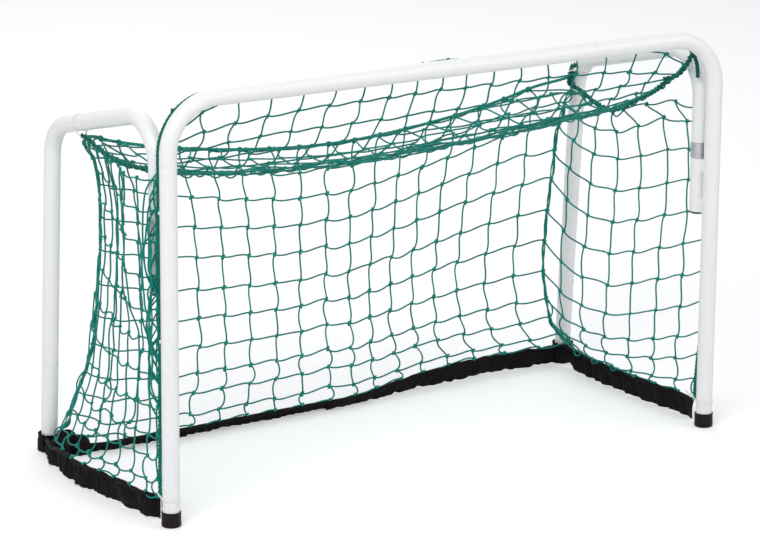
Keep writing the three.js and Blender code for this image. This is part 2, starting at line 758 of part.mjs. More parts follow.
// Back net: from the middle (u = 0) to the corner line (u = 1).
function backNetSurface(name, sign) {
  const { corner, rearRope, skirt } = borders[name];
  const innerX = sign * (gap + twineDiameter);
  const cornerInset = (v) => corner.getPointAt(v).add(point(-sign * netBorderGap, 0, 0));
  const ropeFirst = rearRope.getPointAt(0);
  const skirtFirst = skirt.back.getPointAt(0);
  const middle = (v) => point(
    innerX,
    lerp(ropeFirst.y, skirtFirst.y, v) + backNetBelly * Math.sin(Math.PI * v),
    lerp(ropeFirst.z - ropeSeat, backNetFootZ, v));
  const top = (u) => {
    if (u === 1) return cornerInset(0);
    const at = rearRope.getPointAt(u * backNetRopeShare);
    return point(lerp(innerX, cornerInset(0).x, u), at.y, at.z - ropeSeat);
  };
  const bottom = (u) => {
    const at = skirt.back.getPointAt(u * netSkirtShare);
    const onSkirt = point(at.x + (innerX - skirtFirst.x) * (1 - u), at.y, backNetFootZ);
    return onSkirt.lerp(cornerInset(1), u ** cornerSharpness.backFoot);
  };
  return coonsPatch(top, bottom, middle, cornerInset);
}

// Side net: from the edge cord (u = 0), outside the hinge, to the corner line (u = 1).
function sideNetSurface(name, sign) {
  const { corner, sideRope: rope, skirt } = borders[name];
  const outsideHinge = sign * (postX + tubeRadius + twineDiameter + 2 * gap);
  const hingeZone = { startsBelow: 60, endsBelow: 15, fullShare: 0.2, noneShare: 0.45 };
  const front = (v) => {
    const height = lerp(crossbarZ - sideNetBelowBar, netFootZ, v);
    const cord = cordOnPost(sign, height);
    return point(cord.x + sign * netSeat * postSeat.outward, cord.y + netSeat * postSeat.back, height);
  };
  const rear = (v) => corner.getPointAt(v).add(point(0, -netBorderGap, 0));
  const top = (u) => {
    const at = rope.getPointAt(lerp(sideRopeShare.front, sideRopeShare.rear[name], u));
    const seat = point(at.x, at.y, at.z - ropeSeat - netRopeSag);
    return seat.lerp(u < 0.5 ? front(0) : rear(0), Math.abs(2 * u - 1) ** cornerSharpness.sideTop);
  };
  const bottom = (u) => {
    const at = skirt.side.getPointAt(u * netSkirtShare);
    const onSkirt = point(at.x, at.y, netFootZ);
    return onSkirt.lerp(u < 0.5 ? front(1) : rear(1), Math.abs(2 * u - 1) ** cornerSharpness.sideFoot);
  };
  const patch = coonsPatch(top, bottom, front, rear);
  return (u, v) => {
    const at = patch(u, v);
    const high = smoothstep(at.z, sleeveFootZ - hingeZone.startsBelow, sleeveFootZ - hingeZone.endsBelow);
    const near = 1 - smoothstep(u, hingeZone.fullShare, hingeZone.noneShare);
    if (u > 0) at.x = lerp(at.x, outsideHinge, high * near);
    return at;
  };
}

// Roof net: from the cord on the crossbar (v = 0) it drops steeply, then runs back to the rear rope (v = 1).
function roofSurface(u, v) {
  const x = lerp(-1, 1, u);
  const sign = x < 0 ? -1 : 1;
  const { rearRope, sideRope: rope } = borders[x < 0 ? 'left' : 'right'];
  const share = Math.abs(x);
  const cord = cordOnBar(x * (postX - frontBendRadius));
  const start = point(cord.x, cord.y + netSeat * barSeat.back, cord.z - netSeat * barSeat.down);
  const seat = rearRope.getPointAt(share * roofRopeShare);
  const end = point(seat.x, seat.y - ropeSeat, seat.z);
  const dropX = lerp(start.x, end.x, 0.5);
  const bezier = new THREE.CubicBezierCurve3(
    start,
    point(dropX, roofDrop.behind, crossbarZ - roofDrop.below),
    point(dropX, wingDepth - roofLow.beforeCorner, crossbarZ - roofLow.below),
    end);
  const side = rope.getPointAt(lerp(roofSideShare.front, roofSideShare.rear, v));
  const edge = point(side.x - sign * (knotDiameter / 2 + twineDiameter), side.y, side.z);
  return bezier.getPointAt(v).lerp(edge, share ** cornerSharpness.roofEdge);
}

addPiece('roof_net', netPanel(2 * netColumnsPerHalf - 2, roofRows, roofSurface), greenTwine());
for (const { name, sign } of SIDES) {
  const back = netPanel(netColumnsPerHalf, netRows, backNetSurface(name, sign));
  const side = netPanel(sideNetColumns, netRows, sideNetSurface(name, sign));
  addPiece(`back_net_${name}`, back, greenTwine());
  addPiece(`side_net_${name}`, side, greenTwine());
}

// The goal stands on the middle of its own outline.
goal.updateMatrixWorld(true);
const outline = new THREE.Box3().setFromObject(goal, true);
goal.position.set(-(outline.min.x + outline.max.x) / 2, -(outline.min.y + outline.max.y) / 2, 0);
goal.updateMatrixWorld(true);

export default goal;
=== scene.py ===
"""A small folding street hockey goal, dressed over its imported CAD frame.

Lengths in this file are millimetres in the goal's own frame: X along the crossbar from the goal's middle,
Y from the front posts to the back, Z up. GoalPlan turns them into the frame's metres.
"""

import logging
import math
from collections.abc import Callable, Sequence
from dataclasses import dataclass, field
from enum import Enum

import bmesh
import bpy
import numpy as np
from mathutils import Matrix, Vector


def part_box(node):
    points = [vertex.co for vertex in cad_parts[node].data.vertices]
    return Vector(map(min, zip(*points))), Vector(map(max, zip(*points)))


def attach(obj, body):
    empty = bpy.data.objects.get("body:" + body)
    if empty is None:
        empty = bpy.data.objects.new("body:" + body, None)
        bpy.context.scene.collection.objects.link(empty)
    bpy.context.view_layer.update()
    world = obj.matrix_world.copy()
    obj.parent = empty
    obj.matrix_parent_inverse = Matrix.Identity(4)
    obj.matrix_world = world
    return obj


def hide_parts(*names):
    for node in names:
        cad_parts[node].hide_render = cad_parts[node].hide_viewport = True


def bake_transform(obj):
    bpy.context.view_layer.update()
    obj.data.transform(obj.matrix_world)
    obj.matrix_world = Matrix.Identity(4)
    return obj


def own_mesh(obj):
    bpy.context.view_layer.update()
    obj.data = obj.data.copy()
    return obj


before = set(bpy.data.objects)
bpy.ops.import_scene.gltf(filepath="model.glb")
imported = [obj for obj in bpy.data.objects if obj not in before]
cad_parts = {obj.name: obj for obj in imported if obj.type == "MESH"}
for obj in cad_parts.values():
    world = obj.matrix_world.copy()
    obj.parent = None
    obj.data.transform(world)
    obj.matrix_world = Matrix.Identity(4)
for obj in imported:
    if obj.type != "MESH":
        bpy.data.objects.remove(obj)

LOG = logging.getLogger("hockey_goal")
MM = 0.001
MERGE_DISTANCE = 2e-6
PART_SMOOTH_ANGLE = 50.0
ROPE_LAY_LENGTH = 19.0
UP = np.array([0.0, 0.0, 1.0])
Points = np.ndarray
Piece = bpy.types.Object
Material = bpy.types.Material
Tree = bpy.types.NodeTree
Node = bpy.types.Node
Outputs = bpy.types.NodeOutputs
Socket = bpy.types.NodeSocket
Inputs = dict[str | int, object]
Place = tuple[float, float, float]


# ------------------------------------------------------------------ sizes and places
class Side(Enum):
    """The goal's two sides, seen from the front."""

    LEFT = -1
    RIGHT = 1

    @property
    def label(self) -> str:
        """The side's word in node and body names."""
        return self.name.lower()


@dataclass(frozen=True)
class GoalPlan:
    """The goal's driving sizes and the way from its own millimetres to the frame's metres."""

    opening_width: float = 900.0
    opening_height: float = 600.0
    tube_radius: float = 12.5
    front_bend: float = 75.0
    wing_bend: float = 62.0
    wing_depth: float = 362.0
    wing_front_drop: float = 20.5
    wing_rear_drop: float = 106.5
    leg_lean: float = 32.0
    hinge_gap: float = 8.0
    foot_height: float = 4.3
    cord_radius: float = 3.0
    rope_radius: float = 3.0
    twine_radius: float = 1.3
    skirt_height: float = 34.0
    back_skirt_height: float = 29.5
    back_skirt_low: float = 15.5
    folded_leg_shift: float = 329.0
    net_stays: float = 490.0

    @property
    def post_x(self) -> float:
        """Distance of a post's axis from the middle."""
        return self.opening_width / 2 + self.tube_radius

    @property
    def bar_z(self) -> float:
        """Height of the crossbar's axis."""
        return self.opening_height + self.tube_radius

    @property
    def wing_front_z(self) -> float:
        """Height of a wing's front corner, over its hinge."""
        return self.bar_z - self.wing_front_drop

    @property
    def wing_rear_z(self) -> float:
        """Height of a wing's rear corner, over its leg."""
        return self.bar_z - self.wing_rear_drop

    @property
    def wing_slope(self) -> float:
        """Angle by which a wing's top bar falls to the rear."""
        return math.atan2(self.wing_front_z - self.wing_rear_z, self.wing_depth - self.hinge_y)

    @property
    def leg_slope(self) -> float:
        """How far a rear leg leans back for each unit that it drops."""
        return self.leg_lean / (self.wing_rear_z - self.foot_height)

    @property
    def hinge_y(self) -> float:
        """Distance of the hinge axis behind the posts."""
        return 2 * self.tube_radius + self.hinge_gap

    @property
    def leg_y(self) -> float:
        """Distance of the rear feet behind the posts."""
        return self.wing_depth + self.leg_lean

    @property
    def origin(self) -> Vector:
        """The goal's own origin in the frame, from its front feet.

        Returns:
            The point on the floor midway between the two posts.
        """
        low_left, high_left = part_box("foot_cap_front_left")
        low_right, high_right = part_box("foot_cap_front_right")
        middle = (low_left + high_left + low_right + high_right) / 4
        return Vector((middle.x, middle.y, 0.0))

    def world(self, points: Points) -> Points:
        """Turns millimetres of the goal into metres of the frame."""
        return np.asarray(points, float) * MM + np.array(self.origin)

    def world_point(self, x: float, y: float, z: float) -> Place:
        """One point of the goal in the frame's metres."""
        return tuple(float(value) for value in self.world(np.array([x, y, z])))


PLAN = GoalPlan()


# ------------------------------------------------------------------ runs through space
def unit(vectors: Points) -> Points:
    """Scales each vector to length 1."""
    length = np.linalg.norm(vectors, axis=-1, keepdims=True)
    return vectors / np.maximum(length, 1e-9)


class Run:
    """An open run of points with its arc length."""

    def __init__(self, points: Points) -> None:
        """Keeps the points.

        Args:
            points: the places along the run, one row each.
        """
        self.points = np.asarray(points, float)
        steps = np.linalg.norm(np.diff(self.points, axis=0), axis=1)
        self.reach = np.concatenate([[0.0], np.cumsum(steps)])

    @property
    def length(self) -> float:
        """The whole run's length."""
        return float(self.reach[-1])

    @classmethod
    def smooth(cls, points: Sequence[Sequence[float]], step: float = 2.0) -> "Run":
        """A centripetal Catmull-Rom run through chosen points.

        Args:
            points: the points it passes through.
            step: the greatest distance between two of its own points.

        Returns:
            The smooth run, in even steps.
        """
        given = np.asarray(points, float)
        first, last = 2 * given[0] - given[1], 2 * given[-1] - given[-2]
        knots = np.vstack([first, given, last])
        pieces = []
        for a, b, c, d in zip(knots, knots[1:], knots[2:], knots[3:]):
            t1 = np.linalg.norm(b - a) ** 0.5
            t2 = t1 + np.linalg.norm(c - b) ** 0.5
            t3 = t2 + np.linalg.norm(d - c) ** 0.5
            t = np.linspace(t1, t2, 24, endpoint=False)[:, None]
            ab = a + (b - a) * t / t1
            bc = b + (c - b) * (t - t1) / (t2 - t1)
            cd = c + (d - c) * (t - t2) / (t3 - t2)
            abc = ab + (bc - ab) * t / t2
            bcd = bc + (cd - bc) * (t - t1) / (t3 - t1)
            pieces.append(abc + (bcd - abc) * (t - t1) / (t2 - t1))
        return cls(np.vstack([*pieces, given[-1:]])).evenly(step)

    @classmethod
    def bent(cls, corners: Sequence[Sequence[float]], radius: float, turn_step: float = 3.0) -> "Run":
        """Straight runs joined by round bends, as a tube bender makes them.

        Args:
            corners: the corner points of the straight runs.
            radius: the bends' radius on the tube's axis.
            turn_step: degrees of turn between two points in a bend.

        Returns:
            The bent run.
        """
        given = np.asarray(corners, float)
        places = [given[0]]
        for a, b, c in zip(given, given[1:], given[2:]):
            before, after = unit(b - a), unit(c - b)
            turn = math.acos(float(np.clip(before @ after, -1, 1)))
            start = b - before * radius * math.tan(turn / 2)
            inward = unit(after - before * (after @ before))
            steps = math.ceil(math.degrees(turn) / turn_step)
            for angle in np.linspace(0, turn, steps + 1):
                ahead, aside = radius * math.sin(angle), radius * (1 - math.cos(angle))
                places.append(start + before * ahead + inward * aside)
        places.append(given[-1])
        return cls(np.array(places))

    def at(self, share: float | Points) -> Points:
        """The point, or points, at a share of the run's length."""
        wanted = np.clip(np.asarray(share, float), 0, 1) * self.length
        return np.stack([np.interp(wanted, self.reach, self.points[:, k]) for k in range(3)], axis=-1)

    def direction(self, share: float) -> Points:
        """The run's direction at a share of its length."""
        return unit(self.at(share + 0.004) - self.at(share - 0.004))

    def evenly(self, step: float) -> "Run":
        """The same run in even steps."""
        count = max(2, math.ceil(self.length / step) + 1)
        return Run(self.at(np.linspace(0, 1, count)))

    def frames(self, start: Sequence[float]) -> tuple[Points, Points, Points]:
        """Directions along the run that turn as little as they can.

        Args:
            start: a vector that the first normal leans towards.

        Returns:
            Unit tangents, normals and cross vectors, one row a point.
        """
        tangents = unit(np.gradient(self.points, self.reach + np.arange(len(self.reach)) * 1e-9, axis=0))
        normals = np.zeros_like(tangents)
        normal = np.asarray(start, float)
        for i, tangent in enumerate(tangents):
            normal = unit(normal - tangent * (normal @ tangent))
            normals[i] = normal
        return tangents, normals, np.cross(tangents, normals)


# ------------------------------------------------------------------ meshes
@dataclass
class Shape:
    """Collects the vertices, faces and UVs of one mesh, in the goal's millimetres."""

    vertices: list[Points] = field(default_factory=list)
    faces: list[list[int]] = field(default_factory=list)
    uvs: list[Points] = field(default_factory=list)
    count: int = 0

    def grid(self, points: Points, uv: Points | None = None, around: bool = False) -> None:
        """Adds a sheet of quads.

        Args:
            points: rows by columns by 3.
            uv: rows by columns by 2, in millimetres; with around, one more column.
            around: whether the last column joins the first.
        """
        rows, columns = points.shape[:2]
        self.vertices.append(points.reshape(-1, 3))
        i, j = np.meshgrid(np.arange(rows - 1), np.arange(columns if around else columns - 1), indexing="ij")
        i, j = i.ravel(), j.ravel()
        k = (j + 1) % columns
        near, far = i * columns, (i + 1) * columns
        quads = np.stack([near + j, near + k, far + k, far + j], axis=1)
        self.faces.extend((quads + self.count).tolist())
        self.count += rows * columns
        if uv is None:
            uv = np.zeros((rows, columns + 1, 2))
        corners = [uv[i, j], uv[i, j + 1], uv[i + 1, j + 1], uv[i + 1, j]]
        self.uvs.append(np.stack(corners, axis=1).reshape(-1, 2) * MM)

    def fan(self, ring: Points, centre: Points, flip: bool) -> None:
        """Closes a ring of points with triangles about a centre.

        Args:
            ring: the ring's points.
            centre: the middle point.
            flip: whether the faces turn the other way.
        """
        size = len(ring)
        self.vertices.append(np.vstack([ring, centre[None]]))
        for j in range(size):
            face = [self.count + j, self.count + (j + 1) % size, self.count + size]
            self.faces.append(face[::-1] if flip else face)
        self.count += size + 1
        self.uvs.append(np.zeros((3 * size, 2)))

    def sweep(self, run: Run, section: Points, start: Sequence[float], closed_ends: bool = True) -> None:
        """Carries a closed section along a run.

        Args:
            run: the path of the section's origin.
            section: sides by 2, or points by sides by 2, as normal and cross offsets, anticlockwise.
            start: a vector that the section's first axis leans towards.
            closed_ends: whether both ends get a cap.
        """
        _, normals, crosses = run.frames(start)
        offsets = np.broadcast_to(section, (len(run.points), *section.shape[-2:]))
        rings = run.points[:, None] + offsets[..., :1] * normals[:, None]
        rings = rings + offsets[..., 1:] * crosses[:, None]
        girth = np.linalg.norm(np.diff(np.vstack([offsets[0], offsets[0][:1]]), axis=0), axis=1)
        across = np.concatenate([[0], np.cumsum(girth)])
        self.grid(rings, uv_grid(across, run.reach)[..., ::-1], around=True)
        if closed_ends:
            self.fan(rings[0], run.points[0], flip=True)
            self.fan(rings[-1], run.points[-1], flip=False)

    def lathe(self, profile: Sequence[Sequence[float]], sides: int,
              place: Callable[[Points], Points]) -> None:
        """Turns a profile about Z.

        Args:
            profile: radius and height pairs, from the axis at the foot to the axis at the top.
            sides: facets round the axis.
            place: moves the turned points to where they belong.
        """
        outline = np.asarray(profile, float)
        angles = np.linspace(0, 2 * math.pi, sides, endpoint=False)
        radius, height = outline[1:-1, 0][:, None], outline[1:-1, 1][:, None]
        turned = np.broadcast_arrays(radius * np.cos(angles), radius * np.sin(angles), height)
        rings = np.stack(turned, axis=-1)
        run = np.concatenate([[0], np.cumsum(np.linalg.norm(np.diff(outline[1:-1], axis=0), axis=1))])
        turn = np.linspace(0, 2 * math.pi * float(outline[:, 0].max()), sides + 1)
        self.grid(place(rings), uv_grid(turn, run), around=True)
        foot, top = np.array([0, 0, outline[0, 1]]), np.array([0, 0, outline[-1, 1]])
        self.fan(place(rings[0]), place(foot), flip=True)
        self.fan(place(rings[-1]), place(top), flip=False)

    def object(self, name: str, material: Material, smooth_angle: float = 40.0) -> Piece:
        """Makes the Blender object, with doubles merged and faces outwards.

        Args:
            name: the object's name.
            material: its finish.
            smooth_angle: edges sharper than this many degrees stay sharp.

        Returns:
            The linked object, at the frame's origin.
        """
        mesh = bpy.data.meshes.new(name)
        mesh.from_pydata(PLAN.world(np.vstack(self.vertices)).tolist(), [], self.faces)
        layer = mesh.uv_layers.new(name="UVMap")
        layer.data.foreach_set("uv", np.vstack(self.uvs).astype(np.float32).ravel())
        work = bmesh.new()
        work.from_mesh(mesh)
        bmesh.ops.remove_doubles(work, verts=work.verts, dist=MERGE_DISTANCE)
        bmesh.ops.recalc_face_normals(work, faces=work.faces)
        work.to_mesh(mesh)
        work.free()
        mesh.shade_smooth()
        mesh.set_sharp_from_angle(angle=math.radians(smooth_angle))
        mesh.materials.append(material)
        return linked(name, mesh)

    def cloth(self, name: str, material: Material, thickness: float) -> Piece:
        """Makes the object as cloth of some thickness, smooth all over.

        Args:
            name: the object's name.
            material: its finish.
            thickness: the cloth's thickness.

        Returns:
            The linked object, as a plain mesh.
        """
        made = self.object(name, material, 180.0)
        solid = made.modifiers.new("cloth thickness", "SOLIDIFY")
        solid.thickness = thickness * MM
        solid.offset = 0.0
        plain_mesh(made).data.shade_smooth()
        return made


def linked(name: str, data: bpy.types.ID) -> Piece:
    """Makes an object of some data and links it to the scene.

    Args:
        name: the object's name.
        data: its mesh or curve.

    Returns:
        The object.
    """
    made = bpy.data.objects.new(name, data)
    bpy.context.scene.collection.objects.link(made)
    return made


def plain_mesh(piece: Piece) -> Piece:
    """Turns a piece and its modifiers into a plain mesh.

    Args:
        piece: the piece.

    Returns:
        The same piece.
    """
    graph = bpy.context.evaluated_depsgraph_get()
    mesh = bpy.data.meshes.new_from_object(piece.evaluated_get(graph))
    piece.modifiers.clear()
    piece.data = mesh
    mesh.name = piece.name
    return piece


def uv_grid(across: Points, down: Points) -> Points:
    """The UVs of a grid, from its columns' distances across it and its rows' distances down it."""
    return np.stack(np.broadcast_arrays(across[None], down[:, None]), axis=-1)


def circle(radius: float, sides: int) -> Points:
    """A round section, anticlockwise."""
    angles = np.linspace(0, 2 * math.pi, sides, endpoint=False)
    return radius * np.stack([np.cos(angles), np.sin(angles)], axis=1)


def rounded_bar(width: float, height: float, corner: float, steps: int = 3) -> Points:
    """A rectangular section with round corners.

    Args:
        width: size along the section's first axis.
        height: size along its second axis.
        corner: the corners' radius.
        steps: facets in each corner.

    Returns:
        The outline, anticlockwise.
    """
    outline = []
    for quarter, (sx, sy) in enumerate([(1, 1), (-1, 1), (-1, -1), (1, -1)]):
        centre = np.array([sx * (width / 2 - corner), sy * (height / 2 - corner)])
        for angle in np.linspace(0, math.pi / 2, steps + 1) + quarter * math.pi / 2:
            outline.append(centre + corner * np.array([math.cos(angle), math.sin(angle)]))
    return np.array(outline)


# ------------------------------------------------------------------ node trees
class Wiring:
    """Places and joins nodes in one tree."""

    def __init__(self, tree: Tree) -> None:
        """Keeps the tree that it works in."""
        self.tree = tree

    def feed(self, node: Node, inputs: Inputs) -> None:
        """Sets a node's inputs.

        Args:
            node: the node.
            inputs: values or sockets, by the input's name or place.
        """
        for key, value in inputs.items():
            if isinstance(value, bpy.types.NodeSocket):
                self.tree.links.new(value, node.inputs[key])
            else:
                node.inputs[key].default_value = value

    def node(self, kind: str, inputs: Inputs | None = None, **settings: object) -> Node:
        """Adds a node.

        Args:
            kind: the node's type name.
            inputs: values or sockets for its inputs, by name or place.
            settings: its own properties.

        Returns:
            The new node.
        """
        made = self.tree.nodes.new(kind)
        for name, value in settings.items():
            setattr(made, name, value)
        self.feed(made, inputs or {})
        return made

    def math(self, operation: str, *values: object) -> Socket:
        """Adds a Math node and returns its result."""
        return self.node("ShaderNodeMath", dict(enumerate(values)), operation=operation).outputs[0]

    def vector(self, operation: str, inputs: Inputs) -> Socket:
        """Adds a Vector Math node and returns its result."""
        return self.node("ShaderNodeVectorMath", inputs, operation=operation).outputs[0]

    def noise(self, place: Socket, scale: object, detail: float, roughness: float = 0.5) -> Socket:
        """Adds a noise texture at a place and returns its value."""
        return self.node("ShaderNodeTexNoise", {"Vector": place, "Scale": scale, "Detail": detail,
                                                "Roughness": roughness}).outputs["Fac"]

    def tint(self, mask: Socket, low: "Colour | Socket", high: "Colour | Socket") -> Socket:
        """Mixes two colours, each a plain one or a socket, by a mask.

        Args:
            mask: how far the mix goes, from 0 to 1.
            low: the colour at 0.
            high: the colour at 1.

        Returns:
            The mixed colour.
        """
        ends = [end if isinstance(end, bpy.types.NodeSocket) else (*end, 1) for end in (low, high)]
        mix = self.node("ShaderNodeMix", {"Factor": mask, 6: ends[0], 7: ends[1]}, data_type="RGBA")
        return mix.outputs[2]

    def bump(self, height: Socket, strength: float, distance: float) -> Socket:
        """Turns a height into a normal."""
        return self.node("ShaderNodeBump", {"Height": height, "Strength": strength,
                                            "Distance": distance}).outputs["Normal"]

    def effect(self, tree: Tree, **inputs: object) -> Node:
        """Places a shared shader group with its own values; an input's spaces are underscores here."""
        return self.node("ShaderNodeGroup", {name.replace("_", " "): value for name, value in inputs.items()},
                         node_tree=tree)

    def stored(self, geometry: Socket, name: str, value: Socket) -> Socket:
        """Stores a number on each point and returns the geometry.

        Args:
            geometry: the shape.
            name: the attribute's name.
            value: the number.

        Returns:
            The shape with the attribute.
        """
        return self.node("GeometryNodeStoreNamedAttribute",
                         {"Geometry": geometry, "Name": name, "Value": value},
                         data_type="FLOAT", domain="POINT").outputs[0]


def new_group(name: str, kind: str, inputs: dict[str, tuple[str, object]],
              outputs: dict[str, str]) -> tuple[Wiring, Outputs]:
    """Starts a node group with named sockets.

    Args:
        name: the group's name.
        kind: the tree's type.
        inputs: name to socket type and default value.
        outputs: name to socket type.

    Returns:
        The wiring of the new tree, and what its inputs give.
    """
    tree = bpy.data.node_groups.new(name, kind)
    for label, (socket_type, value) in inputs.items():
        socket = tree.interface.new_socket(label, in_out="INPUT", socket_type=socket_type)
        if value is not None:
            socket.default_value = value
    for label, socket_type in outputs.items():
        tree.interface.new_socket(label, in_out="OUTPUT", socket_type=socket_type)
    wires = Wiring(tree)
    return wires, wires.node("NodeGroupInput").outputs


FLOAT, VECTOR, MATERIAL = "NodeSocketFloat", "NodeSocketVector", "NodeSocketMaterial"
GEOMETRY, INTEGER, OBJECT = "NodeSocketGeometry", "NodeSocketInt", "NodeSocketObject"


# ------------------------------------------------------------------ shared shader effects
def grain_group() -> Tree:
    """A fine skin over a broad, soft change, for paint, rubber and metal.

    Returns:
        The group: Vector, Fine scale and Broad scale in, Height and Change out.
    """
    wires, given = new_group("surface grain", "ShaderNodeTree",
                             {"Vector": (VECTOR, None), "Fine scale": (FLOAT, 600.0),
                              "Broad scale": (FLOAT, 9.0)},
                             {"Height": FLOAT, "Change": FLOAT})
    fine = wires.noise(given["Vector"], given["Fine scale"], 3.0, 0.55)
    broad = wires.noise(given["Vector"], given["Broad scale"], 5.0, 0.6)
    wires.node("NodeGroupOutput", {"Height": fine, "Change": broad})
    return wires.tree


def lay_group() -> Tree:
    """The lay of a twisted or plaited yarn, from its own length and turn attributes.

    Returns:
        The group: Pitch and Plies in, Height and Shade out; Shade is the fibres' own tone with painted shade
            in the grooves between the plies.
    """
    wires, given = new_group("yarn lay", "ShaderNodeTree", {"Pitch": (FLOAT, 0.006), "Plies": (FLOAT, 3.0)},
                             {"Height": FLOAT, "Shade": FLOAT})
    along = wires.node("ShaderNodeAttribute", attribute_name="run_length").outputs["Fac"]
    turn = wires.node("ShaderNodeAttribute", attribute_name="run_turn").outputs["Fac"]
    twist = wires.math("DIVIDE", along, given["Pitch"])
    phase = wires.math("MULTIPLY", wires.math("ADD", twist, turn), given["Plies"])
    wave = wires.math("SINE", wires.math("MULTIPLY", phase, 2 * math.pi))
    ridge = wires.math("POWER", wires.math("MULTIPLY_ADD", wave, 0.5, 0.5), 0.6)
    fibres = wires.node("ShaderNodeTexNoise", {"W": wires.math("MULTIPLY", along, 900.0), "Scale": 1.0,
                                               "Detail": 2.0}, noise_dimensions="1D")
    # Painted shade: the grooves between the plies, low on the ridge, get the darker colour; the fibre noise
    # is the yarn's own tone.
    shade = wires.math("MULTIPLY_ADD", fibres.outputs["Fac"], 0.35, wires.math("MULTIPLY", ridge, 0.65))
    wires.node("NodeGroupOutput", {"Height": ridge, "Shade": shade})
    return wires.tree


def weave_group() -> Tree:
    """A plain weave on the piece's own UV map.

    Returns:
        The group: Vector and Threads per metre in, Height and Shade out; Shade is the slubs' own tone with a
            painted highlight on the thread crests and painted shade in the hollows.
    """
    wires, given = new_group("plain weave", "ShaderNodeTree",
                             {"Vector": (VECTOR, None), "Threads per metre": (FLOAT, 1400.0)},
                             {"Height": FLOAT, "Shade": FLOAT})
    parts = wires.node("ShaderNodeSeparateXYZ", {"Vector": given["Vector"]}).outputs
    step = wires.math("MULTIPLY", given["Threads per metre"], math.pi)
    warp = wires.math("SINE", wires.math("MULTIPLY", parts["X"], step))
    weft = wires.math("SINE", wires.math("MULTIPLY", parts["Y"], step))
    over = wires.math("MULTIPLY_ADD", wires.math("MULTIPLY", warp, weft), 0.5, 0.5)
    slubs = wires.noise(given["Vector"], 160.0, 4.0)
    # Painted light: where the threads cross over, high in the weave, the cloth gets its paler colour, and its
    # hollows the darker one; the slubs are the cloth's own tone.
    shade = wires.math("MULTIPLY_ADD", slubs, 0.6, wires.math("MULTIPLY", over, 0.4))
    wires.node("NodeGroupOutput", {"Height": over, "Shade": shade})
    return wires.tree


def dust_group() -> Tree:
    """Scuffs and floor dust that gather low down.

    Returns:
        The group: Vector and Reach in, Mask out.
    """
    wires, given = new_group("floor dust", "ShaderNodeTree",
                             {"Vector": (VECTOR, None), "Reach": (FLOAT, 0.03)}, {"Mask": FLOAT})
    height = wires.node("ShaderNodeSeparateXYZ", {"Vector": given["Vector"]}).outputs["Z"]
    low = wires.node("ShaderNodeMapRange", {"Value": height, "From Min": 0.0, "From Max": given["Reach"],
                                            "To Min": 1.0, "To Max": 0.0})
    patches = wires.noise(given["Vector"], 130.0, 6.0, 0.65)
    spots = wires.node("ShaderNodeMapRange", {"Value": patches, "From Min": 0.42, "From Max": 0.72})
    wires.node("NodeGroupOutput", {"Mask": wires.math("MULTIPLY", low.outputs[0], spots.outputs[0])})
    return wires.tree


@dataclass
class Effects:
    """The shader groups that the finishes share, built once."""

    grain: Tree = field(default_factory=grain_group)
    lay: Tree = field(default_factory=lay_group)
    weave: Tree = field(default_factory=weave_group)
    dust: Tree = field(default_factory=dust_group)


# ------------------------------------------------------------------ finishes
Colour = tuple[float, float, float]


def surface(name: str) -> tuple[Material, Wiring, Node, Outputs]:
    """Starts a material.

    Args:
        name: the material's name.

    Returns:
        The material, the wiring of its tree, its Principled shader and its coordinates.
    """
    material = bpy.data.materials.new(name)
    material.use_nodes = True
    wires = Wiring(material.node_tree)
    places = wires.node("ShaderNodeTexCoord").outputs
    return material, wires, material.node_tree.nodes["Principled BSDF"], places


@dataclass(frozen=True)
class PowderCoat:
    """White gloss powder coat with a fine orange peel."""

    name: str = "white_paint"
    light: Colour = (0.93, 0.925, 0.92)
    shaded: Colour = (0.88, 0.875, 0.87)
    dusty: Colour = (0.62, 0.58, 0.53)
    coat: float = 0.25

    def material(self, effects: Effects) -> Material:
        """Builds the finish.

        Args:
            effects: the shader groups that the finishes share.

        Returns:
            The material.
        """
        made, wires, shader, places = surface(self.name)
        grain = wires.effect(effects.grain, Vector=places["Object"], Fine_scale=420.0).outputs
        dust = wires.effect(effects.dust, Vector=places["Object"], Reach=0.06).outputs["Mask"]
        clean = wires.tint(grain["Change"], self.shaded, self.light)
        wires.feed(shader, {
            "Base Color": wires.tint(wires.math("MULTIPLY", dust, 0.35), clean, self.dusty),
            "Roughness": wires.math("MULTIPLY_ADD", grain["Change"], 0.14, 0.22),
            "Coat Weight": self.coat, "Coat Roughness": 0.12,
            "Normal": wires.bump(grain["Height"], 0.18, 0.0003)})
        return made


@dataclass(frozen=True)
class MouldedPlastic:
    """A moulded plastic with a fine spark texture, dusty where it meets the floor."""

    name: str
    base: Colour
    worn: Colour
    roughness: float = 0.42
    specular: float = 0.5
    dust_reach: float = 0.012

    def material(self, effects: Effects) -> Material:
        """Builds the finish.

        Args:
            effects: the shader groups that the finishes share.

        Returns:
            The material.
        """
        made, wires, shader, places = surface(self.name)
        grain = wires.effect(effects.grain, Vector=places["Object"], Fine_scale=1500.0,
                             Broad_scale=70.0).outputs
        dust = wires.effect(effects.dust, Vector=places["Object"], Reach=self.dust_reach).outputs["Mask"]
        wear = wires.math("MULTIPLY_ADD", grain["Change"], 0.35, wires.math("MULTIPLY", dust, 0.5))
        wires.feed(shader, {
            "Base Color": wires.tint(wear, self.base, self.worn),
            "Specular IOR Level": self.specular,
            "Roughness": wires.math("MULTIPLY_ADD", grain["Change"], 0.25, self.roughness - 0.1),
            "Normal": wires.bump(grain["Height"], 0.25, 0.0002)})
        return made


